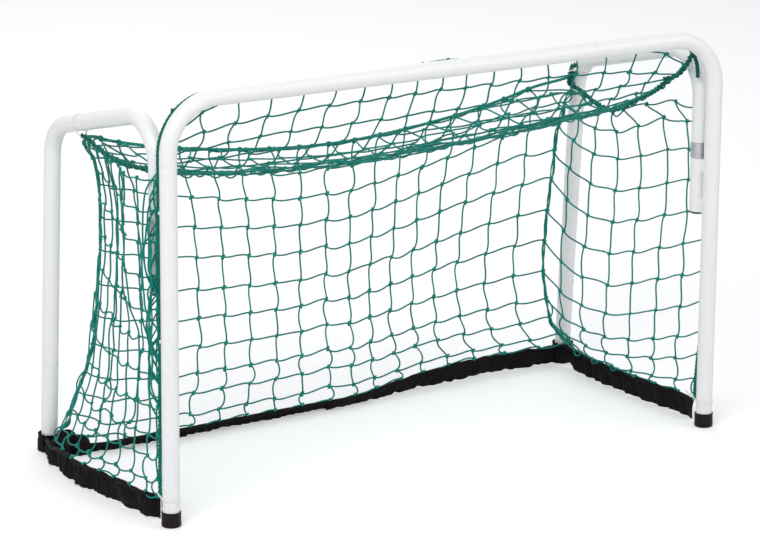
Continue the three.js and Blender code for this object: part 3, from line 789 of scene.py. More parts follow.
@dataclass(frozen=True)
class ZincPlate:
    """Bright zinc plate with turning marks and a slightly cloudy passivation."""

    name: str = "zinc"
    bright: Colour = (0.66, 0.67, 0.68)
    cloudy: Colour = (0.5, 0.52, 0.55)
    marks_per_metre: float = 2200.0

    def material(self, effects: Effects) -> Material:
        """Builds the finish.

        Args:
            effects: the shader groups that the finishes share.

        Returns:
            The material.
        """
        made, wires, shader, places = surface(self.name)
        grain = wires.effect(effects.grain, Vector=places["Object"], Fine_scale=900.0,
                             Broad_scale=45.0).outputs
        height = wires.node("ShaderNodeSeparateXYZ", {"Vector": places["Object"]}).outputs["Z"]
        marks = wires.math("SINE", wires.math("MULTIPLY", height, 2 * math.pi * self.marks_per_metre))
        relief = wires.math("ADD", wires.math("MULTIPLY", marks, 0.4), grain["Height"])
        wires.feed(shader, {
            "Base Color": wires.tint(grain["Change"], self.cloudy, self.bright), "Metallic": 1.0,
            "Roughness": wires.math("MULTIPLY_ADD", grain["Change"], 0.3, 0.2),
            "Normal": wires.bump(relief, 0.3, 0.0001)})
        return made


@dataclass(frozen=True)
class Yarn:
    """Twisted plastic yarn: net twine or rope, seen by its plies and its shade from run to run, with painted
    shade in the grooves between its plies.
    """

    name: str
    deep: Colour
    bright: Colour
    pitch: float
    plies: float
    roughness: float = 0.55

    def material(self, effects: Effects) -> Material:
        """Builds the finish.

        Args:
            effects: the shader groups that the finishes share.

        Returns:
            The material.
        """
        made, wires, shader, places = surface(self.name)
        lay = wires.effect(effects.lay, Pitch=self.pitch, Plies=self.plies).outputs
        own = wires.node("ShaderNodeAttribute", attribute_name="shade").outputs["Fac"]
        grain = wires.effect(effects.grain, Vector=places["Object"], Fine_scale=2500.0,
                             Broad_scale=14.0).outputs
        patchy = wires.math("MULTIPLY_ADD", own, 0.45, wires.math("MULTIPLY", grain["Change"], 0.1))
        relief = wires.math("MULTIPLY_ADD", lay["Height"], 0.8, wires.math("MULTIPLY", grain["Height"], 0.2))
        # Base colour: the lay's Shade paints shade into the grooves between the plies; the run's own shade
        # and the grain vary the yarn's real tone.
        wires.feed(shader, {
            "Base Color": wires.tint(wires.math("MULTIPLY_ADD", lay["Shade"], 0.55, patchy), self.deep,
                                     self.bright),
            "Roughness": wires.math("MULTIPLY_ADD", grain["Height"], 0.2, self.roughness - 0.1),
            "Specular IOR Level": 0.25, "Sheen Weight": 0.04, "Sheen Roughness": 0.4,
            "Normal": wires.bump(relief, 0.5, 0.0005)})
        return made


@dataclass(frozen=True)
class SkirtCloth:
    """Black coated polyester: a fine plain weave with painted shade in its hollows and a painted highlight on
    its thread crests, dull sheen on the folds, dust along the floor.
    """

    name: str = "black_fabric"
    deep: Colour = (0.003, 0.002, 0.0023)
    worn: Colour = (0.009, 0.0065, 0.007)
    dusty: Colour = (0.035, 0.03, 0.028)
    threads_per_metre: float = 1300.0

    def material(self, effects: Effects) -> Material:
        """Builds the finish.

        Args:
            effects: the shader groups that the finishes share.

        Returns:
            The material.
        """
        made, wires, shader, places = surface(self.name)
        weave = wires.effect(effects.weave, Vector=places["UV"],
                             Threads_per_metre=self.threads_per_metre).outputs
        dust = wires.effect(effects.dust, Vector=places["Object"], Reach=0.02).outputs["Mask"]
        # The paler colour goes on the weave's crests as a painted highlight and on the slubs as their own
        # tone; the darker one paints shade in the hollows.
        cloth = wires.tint(weave["Shade"], self.deep, self.worn)
        wires.feed(shader, {
            "Base Color": wires.tint(wires.math("MULTIPLY", dust, 0.2), cloth, self.dusty),
            "Roughness": wires.math("MULTIPLY_ADD", weave["Shade"], 0.25, 0.5),
            "Specular IOR Level": 0.1, "Sheen Weight": 0.01, "Sheen Roughness": 0.5,
            "Normal": wires.bump(weave["Height"], 0.35, 0.0002)})
        return made


@dataclass(frozen=True)
class Finishes:
    """Every finish of the goal, by what it is on."""

    paint: Material
    cap: Material
    zinc: Material
    twine: Material
    rope: Material
    cloth: Material
    nylon: Material

    @classmethod
    def build(cls) -> "Finishes":
        """Builds each finish once.

        Returns:
            The goal's finishes.
        """
        effects = Effects()
        return cls(
            paint=PowderCoat().material(effects),
            cap=MouldedPlastic("black_plastic", (0.007, 0.003, 0.004), (0.016, 0.010, 0.012),
                               specular=0.2).material(effects),
            zinc=ZincPlate().material(effects),
            twine=Yarn("green_twine", (0.0, 0.095, 0.072), (0.0, 0.3, 0.235), 0.0055, 3.0).material(effects),
            rope=Yarn("green_rope", (0.0, 0.045, 0.03), (0.0, 0.25, 0.185), 0.004, 4.0,
                      0.6).material(effects),
            cloth=SkirtCloth().material(effects),
            nylon=MouldedPlastic("white_nylon", (0.88, 0.88, 0.86), (0.78, 0.77, 0.74),
                                 0.4).material(effects),
        )


# ------------------------------------------------------------------ geometry node tools
def swept(wires: Wiring, curves: Socket, radius: Socket, sides: Socket) -> Socket:
    """Sweeps a round section, which knows its own turn, along curves.

    Args:
        wires: the tree's wiring.
        curves: the curves.
        radius: the section's radius.
        sides: its facets.

    Returns:
        The smooth mesh.
    """
    section = wires.node("GeometryNodeCurvePrimitiveCircle", {"Resolution": sides, "Radius": radius})
    turn = wires.node("GeometryNodeSplineParameter").outputs["Factor"]
    marked = wires.stored(section.outputs[0], "run_turn", turn)
    mesh = wires.node("GeometryNodeCurveToMesh",
                      {"Curve": curves, "Fill Caps": True, "Profile Curve": marked})
    return wires.node("GeometryNodeSetShadeSmooth", {"Geometry": mesh.outputs[0]}).outputs[0]


def dress(wires: Wiring, geometry: Socket, finish: Socket) -> None:
    """Ends a tree: makes the copies real and gives them their finish.

    Args:
        wires: the tree's nodes.
        geometry: the shape.
        finish: the material.
    """
    real = wires.node("GeometryNodeRealizeInstances", {"Geometry": geometry}).outputs[0]
    dressed = wires.node("GeometryNodeSetMaterial", {"Geometry": real, "Material": finish}).outputs[0]
    wires.node("NodeGroupOutput", {"Geometry": dressed})


def run_tree() -> Tree:
    """Round runs swept along edges, and copies of up to two small parts on marked points.

    Points carry mark (0 a run, 1 and 2 a copy), turn (Euler angles) and size.

    Returns:
        The tree: Radius, Sides, First part, Second part and Finish in.
    """
    wires, given = new_group("round runs and knots", "GeometryNodeTree",
                             {"Geometry": (GEOMETRY, None), "Radius": (FLOAT, 0.001), "Sides": (INTEGER, 6),
                              "First part": (OBJECT, None), "Second part": (OBJECT, None),
                              "Finish": (MATERIAL, None)}, {"Geometry": GEOMETRY})
    curve = wires.node("GeometryNodeMeshToCurve", {"Mesh": given["Geometry"]}).outputs[0]
    reach = wires.node("GeometryNodeSplineParameter").outputs["Length"]
    runs = swept(wires, wires.stored(curve, "run_length", reach), given["Radius"], given["Sides"])
    join = wires.node("GeometryNodeJoinGeometry", {0: runs})
    mark, turn, size = (
        wires.node("GeometryNodeInputNamedAttribute", {"Name": name}, data_type=kind).outputs["Attribute"]
        for name, kind in (("mark", "INT"), ("turn", "FLOAT_VECTOR"), ("size", "FLOAT")))
    rotation = wires.node("FunctionNodeEulerToRotation", {0: turn}).outputs[0]
    for value, label in ((1, "First part"), (2, "Second part")):
        chosen = wires.node("FunctionNodeCompare", {2: mark, 3: value}, data_type="INT", operation="EQUAL")
        part = wires.node("GeometryNodeObjectInfo", {"Object": given[label]})
        copies = wires.node("GeometryNodeInstanceOnPoints",
                            {"Points": given["Geometry"], "Selection": chosen.outputs[0],
                             "Instance": part.outputs["Geometry"], "Rotation": rotation, "Scale": size})
        wires.feed(join, {0: copies.outputs[0]})
    dress(wires, join.outputs[0], given["Finish"])
    return wires.tree


def rope_tree() -> Tree:
    """Three strands laid round each run of edges.

    Returns:
        The tree: Strand radius, Lay radius, Lay length, Step, Sides and Finish in.
    """
    wires, given = new_group("three strand rope", "GeometryNodeTree",
                             {"Geometry": (GEOMETRY, None), "Strand radius": (FLOAT, 0.0015),
                              "Lay radius": (FLOAT, 0.0014), "Lay length": (FLOAT, 0.02),
                              "Step": (FLOAT, 0.0017), "Sides": (INTEGER, 7), "Finish": (MATERIAL, None)},
                             {"Geometry": GEOMETRY})
    curve = wires.node("GeometryNodeMeshToCurve", {"Mesh": given["Geometry"]}).outputs[0]
    even = wires.node("GeometryNodeResampleCurve", {"Curve": curve, "Length": given["Step"]}, mode="LENGTH")
    reach = wires.node("GeometryNodeSplineParameter").outputs["Length"]
    normal = wires.node("GeometryNodeInputNormal").outputs[0]
    tangent = wires.node("GeometryNodeInputTangent").outputs[0]
    cross = wires.vector("CROSS_PRODUCT", {0: tangent, 1: normal})
    core = wires.stored(even.outputs[0], "run_length", reach)
    join = wires.node("GeometryNodeJoinGeometry")
    for strand in range(3):
        turns = wires.math("DIVIDE", reach, given["Lay length"])
        angle = wires.math("MULTIPLY", wires.math("ADD", turns, strand / 3), 2 * math.pi)
        beside, above = (
            wires.vector("SCALE", {0: way, "Scale": wires.math("MULTIPLY", wires.math(wave, angle),
                                                               given["Lay radius"])})
            for way, wave in ((normal, "COSINE"), (cross, "SINE")))
        moved = wires.node("GeometryNodeSetPosition", {"Geometry": core,
                                                       "Offset": wires.vector("ADD", {0: beside, 1: above})})
        wires.feed(join, {0: moved.outputs[0]})
    dress(wires, swept(wires, join.outputs[0], given["Strand radius"], given["Sides"]), given["Finish"])
    return wires.tree


@dataclass
class Marks:
    """Places for copies of a small part: where, how it is turned, how big, and which part."""

    places: list[Points] = field(default_factory=list)
    turns: list[Sequence[float]] = field(default_factory=list)
    sizes: list[float] = field(default_factory=list)
    kinds: list[int] = field(default_factory=list)
    shades: list[float] = field(default_factory=list)

    def add(self, place: Points, matrix: Points, size: float = 1.0, kind: int = 1,
            shade: float = 0.6) -> None:
        """Adds one copy.

        Args:
            place: its point.
            matrix: its axes as columns.
            size: its scale.
            kind: 1 for the first part, 2 for the second.
            shade: how bright its yarn is.
        """
        self.places.append(np.asarray(place, float))
        self.turns.append(tuple(Matrix(np.asarray(matrix).tolist()).to_euler()))
        self.sizes.append(size)
        self.kinds.append(kind)
        self.shades.append(shade)

    def join(self, other: "Marks") -> None:
        """Adds another set's copies after its own."""
        for own, more in zip(vars(self).values(), vars(other).values()):
            own += more


@dataclass
class NodeTools:
    """The geometry node trees, and the way to run one and keep its plain mesh."""

    runs: Tree = field(default_factory=run_tree)
    ropes: Tree = field(default_factory=rope_tree)

    def _source(self, name: str, lines: Sequence[Points], shades: Sequence[float],
                marks: Marks) -> Piece:
        """Makes the mesh of edges and points that a tree reads.

        Args:
            name: the piece's name.
            lines: the runs.
            shades: each run's shade.
            marks: places of the copies.

        Returns:
            The linked object.
        """
        points, edges, shade = [], [], []
        start = 0
        for line, tone in zip(lines, shades):
            points.append(line)
            index = np.arange(start, start + len(line) - 1)
            edges.append(np.stack([index, index + 1], axis=1))
            shade.append(np.full(len(line), tone))
            start += len(line)
        loose = len(marks.places)
        if loose:
            points.append(np.array(marks.places))
        mesh = bpy.data.meshes.new(name)
        joined = np.vstack(edges).tolist() if edges else []
        mesh.from_pydata(PLAN.world(np.vstack(points)).tolist(), joined, [])
        tones = np.concatenate([*shade, np.array(marks.shades)]).astype(np.float32)
        kinds = np.concatenate([np.zeros(start), np.array(marks.kinds)]).astype(np.int32)
        sizes = np.concatenate([np.ones(start), np.array(marks.sizes)]).astype(np.float32)
        turns = np.zeros((start + loose, 3), np.float32)
        if loose:
            turns[start:] = np.array(marks.turns)
        numbers = (("shade", "FLOAT", tones), ("mark", "INT", kinds), ("size", "FLOAT", sizes))
        for label, kind, values in numbers:
            mesh.attributes.new(label, kind, "POINT").data.foreach_set("value", values)
        mesh.attributes.new("turn", "FLOAT_VECTOR", "POINT").data.foreach_set("vector", turns.ravel())
        return linked(name, mesh)

    def _bake(self, made: Piece, tree: Tree,
              values: dict[str, object]) -> Piece:
        """Runs the tree on the object and keeps the result as its plain mesh.

        Args:
            made: the object.
            tree: the tree.
            values: its inputs by name.

        Returns:
            The same object.
        """
        modifier = made.modifiers.new("shape", "NODES")
        modifier.node_group = tree
        sockets = {item.name: item.identifier for item in tree.interface.items_tree
                   if item.item_type == "SOCKET" and item.in_out == "INPUT"}
        for label, value in values.items():
            modifier[sockets[label]] = value
        return plain_mesh(made)

    def round_runs(self, name: str, lines: Sequence[Points], radius: float, sides: int,
                   finish: Material, shades: Sequence[float] | None = None,
                   marks: Marks | None = None, parts: Sequence[Shape] = ()) -> Piece:
        """Sweeps round runs and sets copies of small parts.

        Args:
            name: the piece's name.
            lines: the runs, in the goal's millimetres.
            radius: the runs' radius.
            sides: facets round a run.
            finish: the piece's material.
            shades: how bright each run's yarn is.
            marks: places of the copies.
            parts: the one or two parts that are copied.

        Returns:
            The piece, as a plain mesh.
        """
        made = self._source(name, lines, shades or [0.5] * len(lines), marks or Marks())
        values: dict[str, object] = {"Radius": radius * MM, "Sides": sides, "Finish": finish}
        small = [part.object("copied_part", finish, PART_SMOOTH_ANGLE) for part in parts]
        for label, part in zip(("First part", "Second part"), small):
            part.data.transform(Matrix.Translation(-PLAN.origin))
            values[label] = part
        self._bake(made, self.runs, values)
        for part in small:
            bpy.data.meshes.remove(part.data)
        return made

    def copies(self, name: str, part: Shape, marks: Marks, finish: Material) -> Piece:
        """Sets copies of one small part on their marks."""
        return self.round_runs(name, [], 1.0, 6, finish, [], marks, [part])

    def rope(self, name: str, lines: Sequence[Points], radius: float, finish: Material,
             shade: float = 0.5) -> Piece:
        """Lays three-strand rope along runs.

        Args:
            name: the piece's name.
            lines: the runs, in the goal's millimetres.
            radius: the rope's radius.
            finish: its material.
            shade: how bright it is.

        Returns:
            The piece, as a plain mesh.
        """
        made = self._source(name, lines, [shade] * len(lines), Marks())
        values = {"Strand radius": radius * 0.5 * MM, "Lay radius": radius * 0.49 * MM,
                  "Lay length": ROPE_LAY_LENGTH * MM, "Finish": finish}
        return self._bake(made, self.ropes, values)


def placed(piece: Piece, body: str, slot: str, *nodes: str) -> Piece:
    """Lets a piece ride a body and hides the nodes it stands for.

    Args:
        piece: the piece.
        body: the body it rides.
        slot: its slot; not used.
        nodes: the nodes that it stands for.

    Returns:
        The same piece.
    """
    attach(piece, body)
    if nodes:
        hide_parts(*nodes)
    LOG.info("%s rides on %s", piece.name, body)
    return piece


def bends(piece: Piece, side: Side, slot: str, reach: tuple[float, float], height: float,
          *nodes: str) -> None:
    """Bakes a piece's transform into its mesh and hides the nodes it stands for.

    Args:
        piece: the piece.
        side: the wing's side.
        slot: its slot; not used.
        reach: how far behind the posts the bend starts and ends.
        height: the height of both places.
        nodes: the nodes that it stands for.
    """
    if nodes:
        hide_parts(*nodes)
    start, end = (PLAN.world_point(side.value * PLAN.post_x, y, height) for y in reach)
    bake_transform(piece)
    LOG.info("%s bends from the front to the wing", piece.name)


def gather_back(piece: Piece, side: Side, across: float = PLAN.post_x) -> None:
    """Gives a back half its own copy of its mesh.

    Args:
        piece: the piece.
        side: its side.
        across: how far from the middle it stays as it is.
    """
    PLAN.world_point(side.value * across, PLAN.leg_y, 0)
    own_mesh(piece)


# ------------------------------------------------------------------ the steel frame
@dataclass
class Maker:
    """What the makers of tubes, ropes and nets work with."""

    tools: NodeTools
    finishes: Finishes


def round_foot(wide: float, low: float, corner: float) -> list[tuple[float, float]]:
    """The quarter round of a turned profile, from its underside to its wall."""
    return [(wide - corner + corner * math.sin(turn), low + corner - corner * math.cos(turn))
            for turn in np.linspace(0, math.pi / 2, 6)]


@dataclass
class SteelFrame(Maker):
    """The bent front frame, the two wings, their caps and hinges."""

    sides: int = 48
    cap_radius: float = 14.3
    cap_height: float = 22.0
    cap_corner: float = 2.2
    cap_seams: tuple[tuple[float, float], ...] = ((0.35, 3.0), (0.5, 10.0), (0.62, 17.5))
    short_leg_foot: float = 443.6
    sleeve_foot: float = 335.0
    sleeve_length: float = 84.0
    sleeve_bore: float = 10.7
    plug_radius: float = 12.5
    plug_corner: float = 2.6
    pin_radius: float = 10.2
    collar_height: float = 24.0
    collar_radius: float = 13.5
    web_width: float = 8.0
    web_height: float = 22.0
    weld_pitch: float = 1.35
    weld_seed: int = 11

    def front_run(self) -> Run:
        """The front frame's axis, from foot to foot."""
        x, top, foot = PLAN.post_x, PLAN.bar_z, PLAN.foot_height
        return Run.bent([(-x, 0, foot), (-x, 0, top), (x, 0, top), (x, 0, foot)], PLAN.front_bend)

    def wing_run(self, side: Side) -> Run:
        """A wing's axis, from its short leg to its rear foot.

        Args:
            side: its side.

        Returns:
            The axis.
        """
        x = side.value * PLAN.post_x
        return Run.bent([(x, PLAN.hinge_y, self.short_leg_foot), (x, PLAN.hinge_y, PLAN.wing_front_z),
                         (x, PLAN.wing_depth, PLAN.wing_rear_z), (x, PLAN.leg_y, PLAN.foot_height)],
                        PLAN.wing_bend)

    def tube(self, name: str, run: Run, body: str, node: str) -> None:
        """Sweeps one tube."""
        piece = self.tools.round_runs(name, [run.points], PLAN.tube_radius, self.sides, self.finishes.paint)
        placed(piece, body, "white_paint", node)

    def cap_profile(self) -> list[tuple[float, float]]:
        """A foot cap's outline: rounded sole, slight draft and a rolled lip.

        Returns:
            Radius and height pairs, from the sole up.
        """
        wide, top = self.cap_radius, self.cap_height
        lip_foot = top - 3.4
        lip = [(wide - 1.1 + 1.1 * math.cos(a), lip_foot + 1.9 + 1.5 * math.sin(a))
               for a in np.linspace(-math.pi / 2, math.pi / 2, 8)]
        inner = PLAN.tube_radius + 0.12
        return [(0, 0), (9.0, 0.0), *round_foot(wide, 0.0, self.cap_corner), (wide - 0.5, lip_foot - 0.6),
                (wide - 0.75, lip_foot), *lip, (inner, top - 0.6), (inner, top - 3.0), (0, top - 3.0)]

    def cap(self, side: Side, end: str, y: float, slope: float, body: str) -> None:
        """Makes a foot cap with its three moulding seams; a rear one leans with its leg.

        Args:
            side: its side.
            end: front or rear.
            y: how far behind the posts it stands.
            slope: how far it leans back for each unit that it drops.
            body: the body that it rides.
        """
        def place(points: Points) -> Points:
            """Stands turned points under the tube.

            Args:
                points: the turned points.

            Returns:
                The points in place.
            """
            height = points[..., 2]
            back = y - slope * (height - PLAN.foot_height)
            return points + np.stack(np.broadcast_arrays(side.value * PLAN.post_x, back, 0.0), axis=-1)

        shape = Shape()
        shape.lathe(self.cap_profile(), 56, place)
        for turn in np.linspace(0, 2 * math.pi, 3, endpoint=False) + 0.35:
            out = np.array([math.cos(turn), math.sin(turn), 0.0])
            seam = [out * (self.cap_radius - depth) + UP * height for depth, height in self.cap_seams]
            shape.sweep(Run(place(np.array(seam))), circle(0.42, 6), out)
        made = shape.object(f"cap_{end}_{side.label}", self.finishes.cap, 35.0)
        placed(made, body, "black_plastic", f"foot_cap_{end}_{side.label}")

    def sleeve(self, side: Side, stand: Callable[[Points], Points]) -> None:
        """Makes a sleeve and the two webs that join it to its post.

        Args:
            side: its side.
            stand: moves turned points onto the hinge axis.
        """
        outer, bore, foot = PLAN.tube_radius, self.sleeve_bore, self.sleeve_foot
        top = foot + self.sleeve_length
        shape = Shape()
        shape.lathe([(0, foot + 3), (bore, foot + 3), (bore, foot + 0.5), (bore + 0.5, foot),
                     (outer - 0.6, foot), (outer, foot + 0.6), (outer, top - 0.6), (outer - 0.6, top),
                     (bore + 0.5, top), (bore, top - 0.5), (bore, top - 3), (0, top - 3)], self.sides, stand)
        for low in self.web_feet():
            x, z = side.value * PLAN.post_x, low + self.web_height / 2
            web = Run([(x, outer * 0.6, z), (x, PLAN.hinge_y - outer * 0.6, z)])
            shape.sweep(web, rounded_bar(self.web_width, self.web_height, 1.2), (1, 0, 0))
        placed(shape.object(f"hinge_sleeve_tube_{side.label}", self.finishes.paint), "front", "white_paint",
               f"hinge_sleeve_{side.label}")

    def web_feet(self) -> tuple[float, float]:
        """The heights of the webs' lower edges."""
        return self.sleeve_foot, self.sleeve_foot + self.sleeve_length - self.web_height

    def welds(self, side: Side) -> None:
        """Lays ripples along the webs' edges on the post and on the sleeve.

        Args:
            side: its side.
        """
        marks = Marks()
        reach = self.web_width / 2
        dip = math.sqrt(PLAN.tube_radius ** 2 - reach ** 2)
        dice = np.random.default_rng(self.weld_seed)
        for low in self.web_feet():
            for across in (-reach, reach):
                for back in (dip + 0.2, PLAN.hinge_y - dip - 0.2):
                    for z in np.arange(low + 0.9, low + self.web_height, self.weld_pitch):
                        turn = Matrix.Rotation(dice.uniform(-0.25, 0.25), 3, "X")
                        marks.add(np.array([side.value * PLAN.post_x + across * 1.04, back, z]), turn,
                                  dice.uniform(0.9, 1.15))
        ripple = Shape()
        outline = [(0, -0.9), (0.7, -0.8), (1.35, -0.3), (1.35, 0.3), (0.7, 0.8), (0, 0.9)]
        ripple.lathe(outline, 8, lambda points: points)
        placed(self.tools.copies(f"hinge_welds_{side.label}", ripple, marks, self.finishes.paint), "front",
               "white_paint")

    def plug(self, side: Side, stand: Callable[[Points], Points]) -> None:
        """Makes the black plug under the sleeve, with a domed head and a moulding dimple.

        Args:
            side: its side.
            stand: moves turned points onto the hinge axis.
        """
        foot, wide, corner, neck = self.sleeve_foot, self.plug_radius, self.plug_corner, self.pin_radius
        shape = Shape()
        head = round_foot(wide, foot - 3.0, corner)
        shape.lathe([(0, foot - 2.5), (2.2, foot - 2.5), (2.6, foot - 3.0), *head, (wide, foot - 0.3),
                     (neck, foot - 0.3), (neck, foot + 6), (0, foot + 6)], 48, stand)
        placed(shape.object(f"sleeve_end_plug_{side.label}", self.finishes.cap, 35.0), "front",
               "black_plastic", f"sleeve_plug_{side.label}")

    def collar(self, side: Side, stand: Callable[[Points], Points]) -> None:
        """Makes the zinc collar that the short leg stands on, with chamfers and a fine groove.

        Args:
            side: its side.
            stand: moves turned points onto the hinge axis.
        """
        top = self.short_leg_foot - 0.3
        foot, wide, pin = top - self.collar_height, self.collar_radius, self.pin_radius
        dip = wide - 0.45
        groove = [(wide, foot + 6.2), (dip, foot + 6.6), (dip, foot + 7.4), (wide, foot + 7.8)]
        shape = Shape()
        shape.lathe([(0, foot - 8), (pin, foot - 8), (pin, foot), (wide - 0.9, foot), (wide, foot + 0.9),
                     *groove, (wide, top - 0.9), (wide - 0.9, top), (pin, top), (pin, top + 5),
                     (0, top + 5)], 56, stand)
        placed(shape.object(f"hinge_collar_{side.label}", self.finishes.zinc, 30.0), f"wing_{side.label}",
               "zinc", f"hinge_pin_{side.label}")

    def build(self) -> None:
        """Builds the whole steel frame."""
        self.tube("frame_tube", self.front_run(), "front", "front_frame")
        for side in Side:
            wing = f"wing_{side.label}"
            self.tube(f"wing_tube_{side.label}", self.wing_run(side), wing, wing)
        for side in Side:
            self.cap(side, "front", 0.0, 0.0, "front")
            self.cap(side, "rear", PLAN.leg_y, PLAN.leg_slope, f"wing_{side.label}")
        for side in Side:
            axis = np.array([side.value * PLAN.post_x, PLAN.hinge_y, 0.0])

            def stand(points: Points, axis: Points = axis) -> Points:
                """Moves turned points onto the hinge axis."""
                return points + axis

            self.sleeve(side, stand)
            self.welds(side)
            self.plug(side, stand)
            self.collar(side, stand)


def nylon_tie(near: Points, near_radius: float, far: Points, far_radius: float, along: Points,
              turn: int) -> Shape:
    """A nylon tie pulled round a tube and a rope beside it, with its lock and a cut tail.

    Args:
        near: a point on the tube's axis.
        near_radius: the band's radius round the tube.
        far: the rope's middle, beside that point.
        far_radius: the band's radius round the rope.
        along: the tube's direction.
        turn: 1 or -1, the side of the rope that the lock sits on.

    Returns:
        The tie's shape.
    """
    chord = far - near
    chord = chord - along * (chord @ along)
    first = unit(chord)
    second = np.cross(along, first)
    spread = math.acos((near_radius - far_radius) / float(np.linalg.norm(chord)))

    def arc(centre: Points, radius: float, start: float, end: float, count: int) -> Points:
        """Points round a circle across the tube."""
        angles = np.linspace(start, end, count)[:, None]
        return centre + radius * (np.cos(angles) * first + np.sin(angles) * second)

    loop = np.vstack([arc(near, near_radius, spread, 2 * math.pi - spread, 40),
                      arc(near + chord, far_radius, -spread, spread, 16)])
    shape = Shape()
    shape.sweep(Run(np.vstack([loop, loop[:1]])), rounded_bar(1.0, 3.6, 0.3, 2), loop[0] - near,
                closed_ends=False)
    lock_at = near + chord + second * turn * (far_radius + 0.6) + first * 1.5
    shape.sweep(Run([lock_at - first * 2.6, lock_at + first * 2.6]), rounded_bar(4.2, 5.2, 0.7), second)
    tail = [lock_at + first * forth + second * turn * out + along * up
            for forth, out, up in ((1.5, 0.0, 0.0), (6.0, 0.6, 0.3), (10.5, 1.2, 1.6), (14.0, 2.2, 4.2))]
    shape.sweep(Run.smooth(tail, 1.0), rounded_bar(1.0, 3.2, 0.3, 2), second)
    return shape


# ------------------------------------------------------------------ the edge cord and what holds it
@dataclass
class EdgeCord(Maker):
    """The rope behind the front frame, its hooks and its ties at the feet."""

    offset: float = 16.5
    outward: float = 8.25
    above_bar: float = 4.5
    foot_z: float = 37.0
    foot_back: float = 29.0
    foot_outward: float = 2.5
    drift_z: float = 240.0
    bar_clips: int = 5
    bar_pitch: float = 150.0
    post_clips: tuple[float, float] = (270.0, 455.0)
    clip_wall: float = 1.2
    clip_width: float = 5.0
    clip_reach: float = 1.1
    clip_bead_turn: float = 0.62
    hump_x: float = -8.0
    hump_rise: float = 3.0
    hump_reach: float = 34.0
    tie_height: float = 40.8

    def back(self, outward: float) -> float:
        """How far behind the tube's axis the cord lies for an outward offset."""
        return math.sqrt(self.offset ** 2 - outward ** 2)

    def on_post(self, side: Side, height: float) -> Points:
        """The cord's place beside a post.

        Args:
            side: its side.
            height: the height above the floor.

        Returns:
            The cord's middle.
        """
        drift = 1 - smooth_step(height, self.foot_z, self.drift_z)
        out = self.outward + (self.foot_outward - self.outward) * drift
        back = self.back(self.outward) + (self.foot_back - self.back(self.outward)) * drift
        return np.array([side.value * (PLAN.post_x + out), back, height])

    def on_bar(self, x: float) -> Points:
        """The cord's place behind the crossbar, with the slack between two hooks that rises above it."""
        rise = self.hump_rise * math.exp(-((x - self.hump_x) / self.hump_reach) ** 2)
        return np.array([x, self.back(self.above_bar), PLAN.bar_z + self.above_bar + rise])

    def half(self, side: Side) -> list[Points]:
        """Half of the cord's route, from its foot to the crossbar.

        Args:
            side: its side.

        Returns:
            The route's points.
        """
        bend_foot = PLAN.bar_z - PLAN.front_bend
        route = [self.on_post(side, z) for z in np.linspace(self.foot_z, bend_foot, 40)]
        for angle in np.linspace(0, math.pi / 2, 16)[1:]:
            outward = self.outward + (self.above_bar - self.outward) * angle / (math.pi / 2)
            reach = PLAN.front_bend + outward
            x = PLAN.post_x - PLAN.front_bend + reach * math.cos(angle)
            z = PLAN.bar_z - PLAN.front_bend + reach * math.sin(angle)
            route.append(np.array([side.value * x, self.back(outward), z]))
        return route

    def run(self) -> Run:
        """The cord's whole route."""
        inner = PLAN.post_x - PLAN.front_bend
        bar = [self.on_bar(x) for x in np.linspace(-inner, inner, 30)[1:-1]]
        return Run(np.array([*self.half(Side.LEFT), *bar, *self.half(Side.RIGHT)[::-1]]))

    def rope(self) -> None:
        """Lays the cord, with a melted end at each foot."""
        cord = self.tools.rope("edge_rope", [self.run().points], PLAN.cord_radius, self.finishes.rope)
        placed(cord, "front", "green_rope", "edge_cord")
        for side in Side:
            end = self.on_post(side, self.foot_z)
            shape = Shape()
            shape.lathe([(0, 0), (2.1, 0.1), (3.0, 0.9), (3.15, 2.0), (2.5, 3.4), (0, 3.6)], 18,
                        lambda p, end=end: p + end)
            placed(shape.object(f"rope_end_{side.label}", self.finishes.rope, 60.0), "front", "green_rope")

    def hook(self, across: float, back: float) -> Shape:
        """An open cradle welded to the tube, which the cord is pressed into, along Z.

        Args:
            across: the cord's offset across the tube.
            back: the cord's offset behind the tube.

        Returns:
            The cradle's shape about the tube's axis.
        """
        away = math.atan2(back, across)
        radius = PLAN.cord_radius + 0.3 + self.clip_wall / 2
        turns = away + math.pi + np.linspace(-self.clip_reach, self.clip_reach, 24)
        places = np.stack([across + radius * np.cos(turns), back + radius * np.sin(turns), 0 * turns], axis=1)
        shape = Shape()
        shape.sweep(Run(places), rounded_bar(self.clip_wall, self.clip_width, 0.5, 2),
                    (math.cos(turns[0]), math.sin(turns[0]), 0))
        half = self.clip_width / 2 - 0.4
        for turn in (-self.clip_bead_turn, self.clip_bead_turn):
            at = away + turn * 0.3
            root = np.array([math.cos(at), math.sin(at)]) * (PLAN.tube_radius + 0.1)
            bead = Run.smooth([(*root, z) for z in np.linspace(-half, half, 5)], 0.8)
            swell = 1.1 + 0.2 * np.sin(np.arange(len(bead.points)) * 2.1)
            shape.sweep(bead, circle(1.0, 10)[None] * swell[:, None, None], (1, 0, 0))
        return shape

    def hooks(self) -> None:
        """Copies the hooks along the crossbar and the posts."""
        marks = Marks()
        lay_over = np.array([[0, 0, 1], [0, 1, 0], [-1, 0, 0]], float)
        for i in range(self.bar_clips):
            marks.add(np.array([(i - self.bar_clips // 2) * self.bar_pitch, 0, PLAN.bar_z]), lay_over)
        part = self.hook(-self.above_bar, self.back(self.above_bar))
        placed(self.tools.copies("bar_hooks", part, marks, self.finishes.paint), "front", "white_paint",
               *[f"cord_clip_bar_{i + 1}" for i in range(self.bar_clips)])
        for side in Side:
            marks = Marks()
            for z in self.post_clips:
                marks.add(np.array([side.value * PLAN.post_x, 0, z]), np.eye(3))
            part = self.hook(side.value * self.outward, self.back(self.outward))
            placed(self.tools.copies(f"post_hooks_{side.label}", part, marks, self.finishes.paint), "front",
                   "white_paint", f"cord_clip_{side.label}_1", f"cord_clip_{side.label}_2")

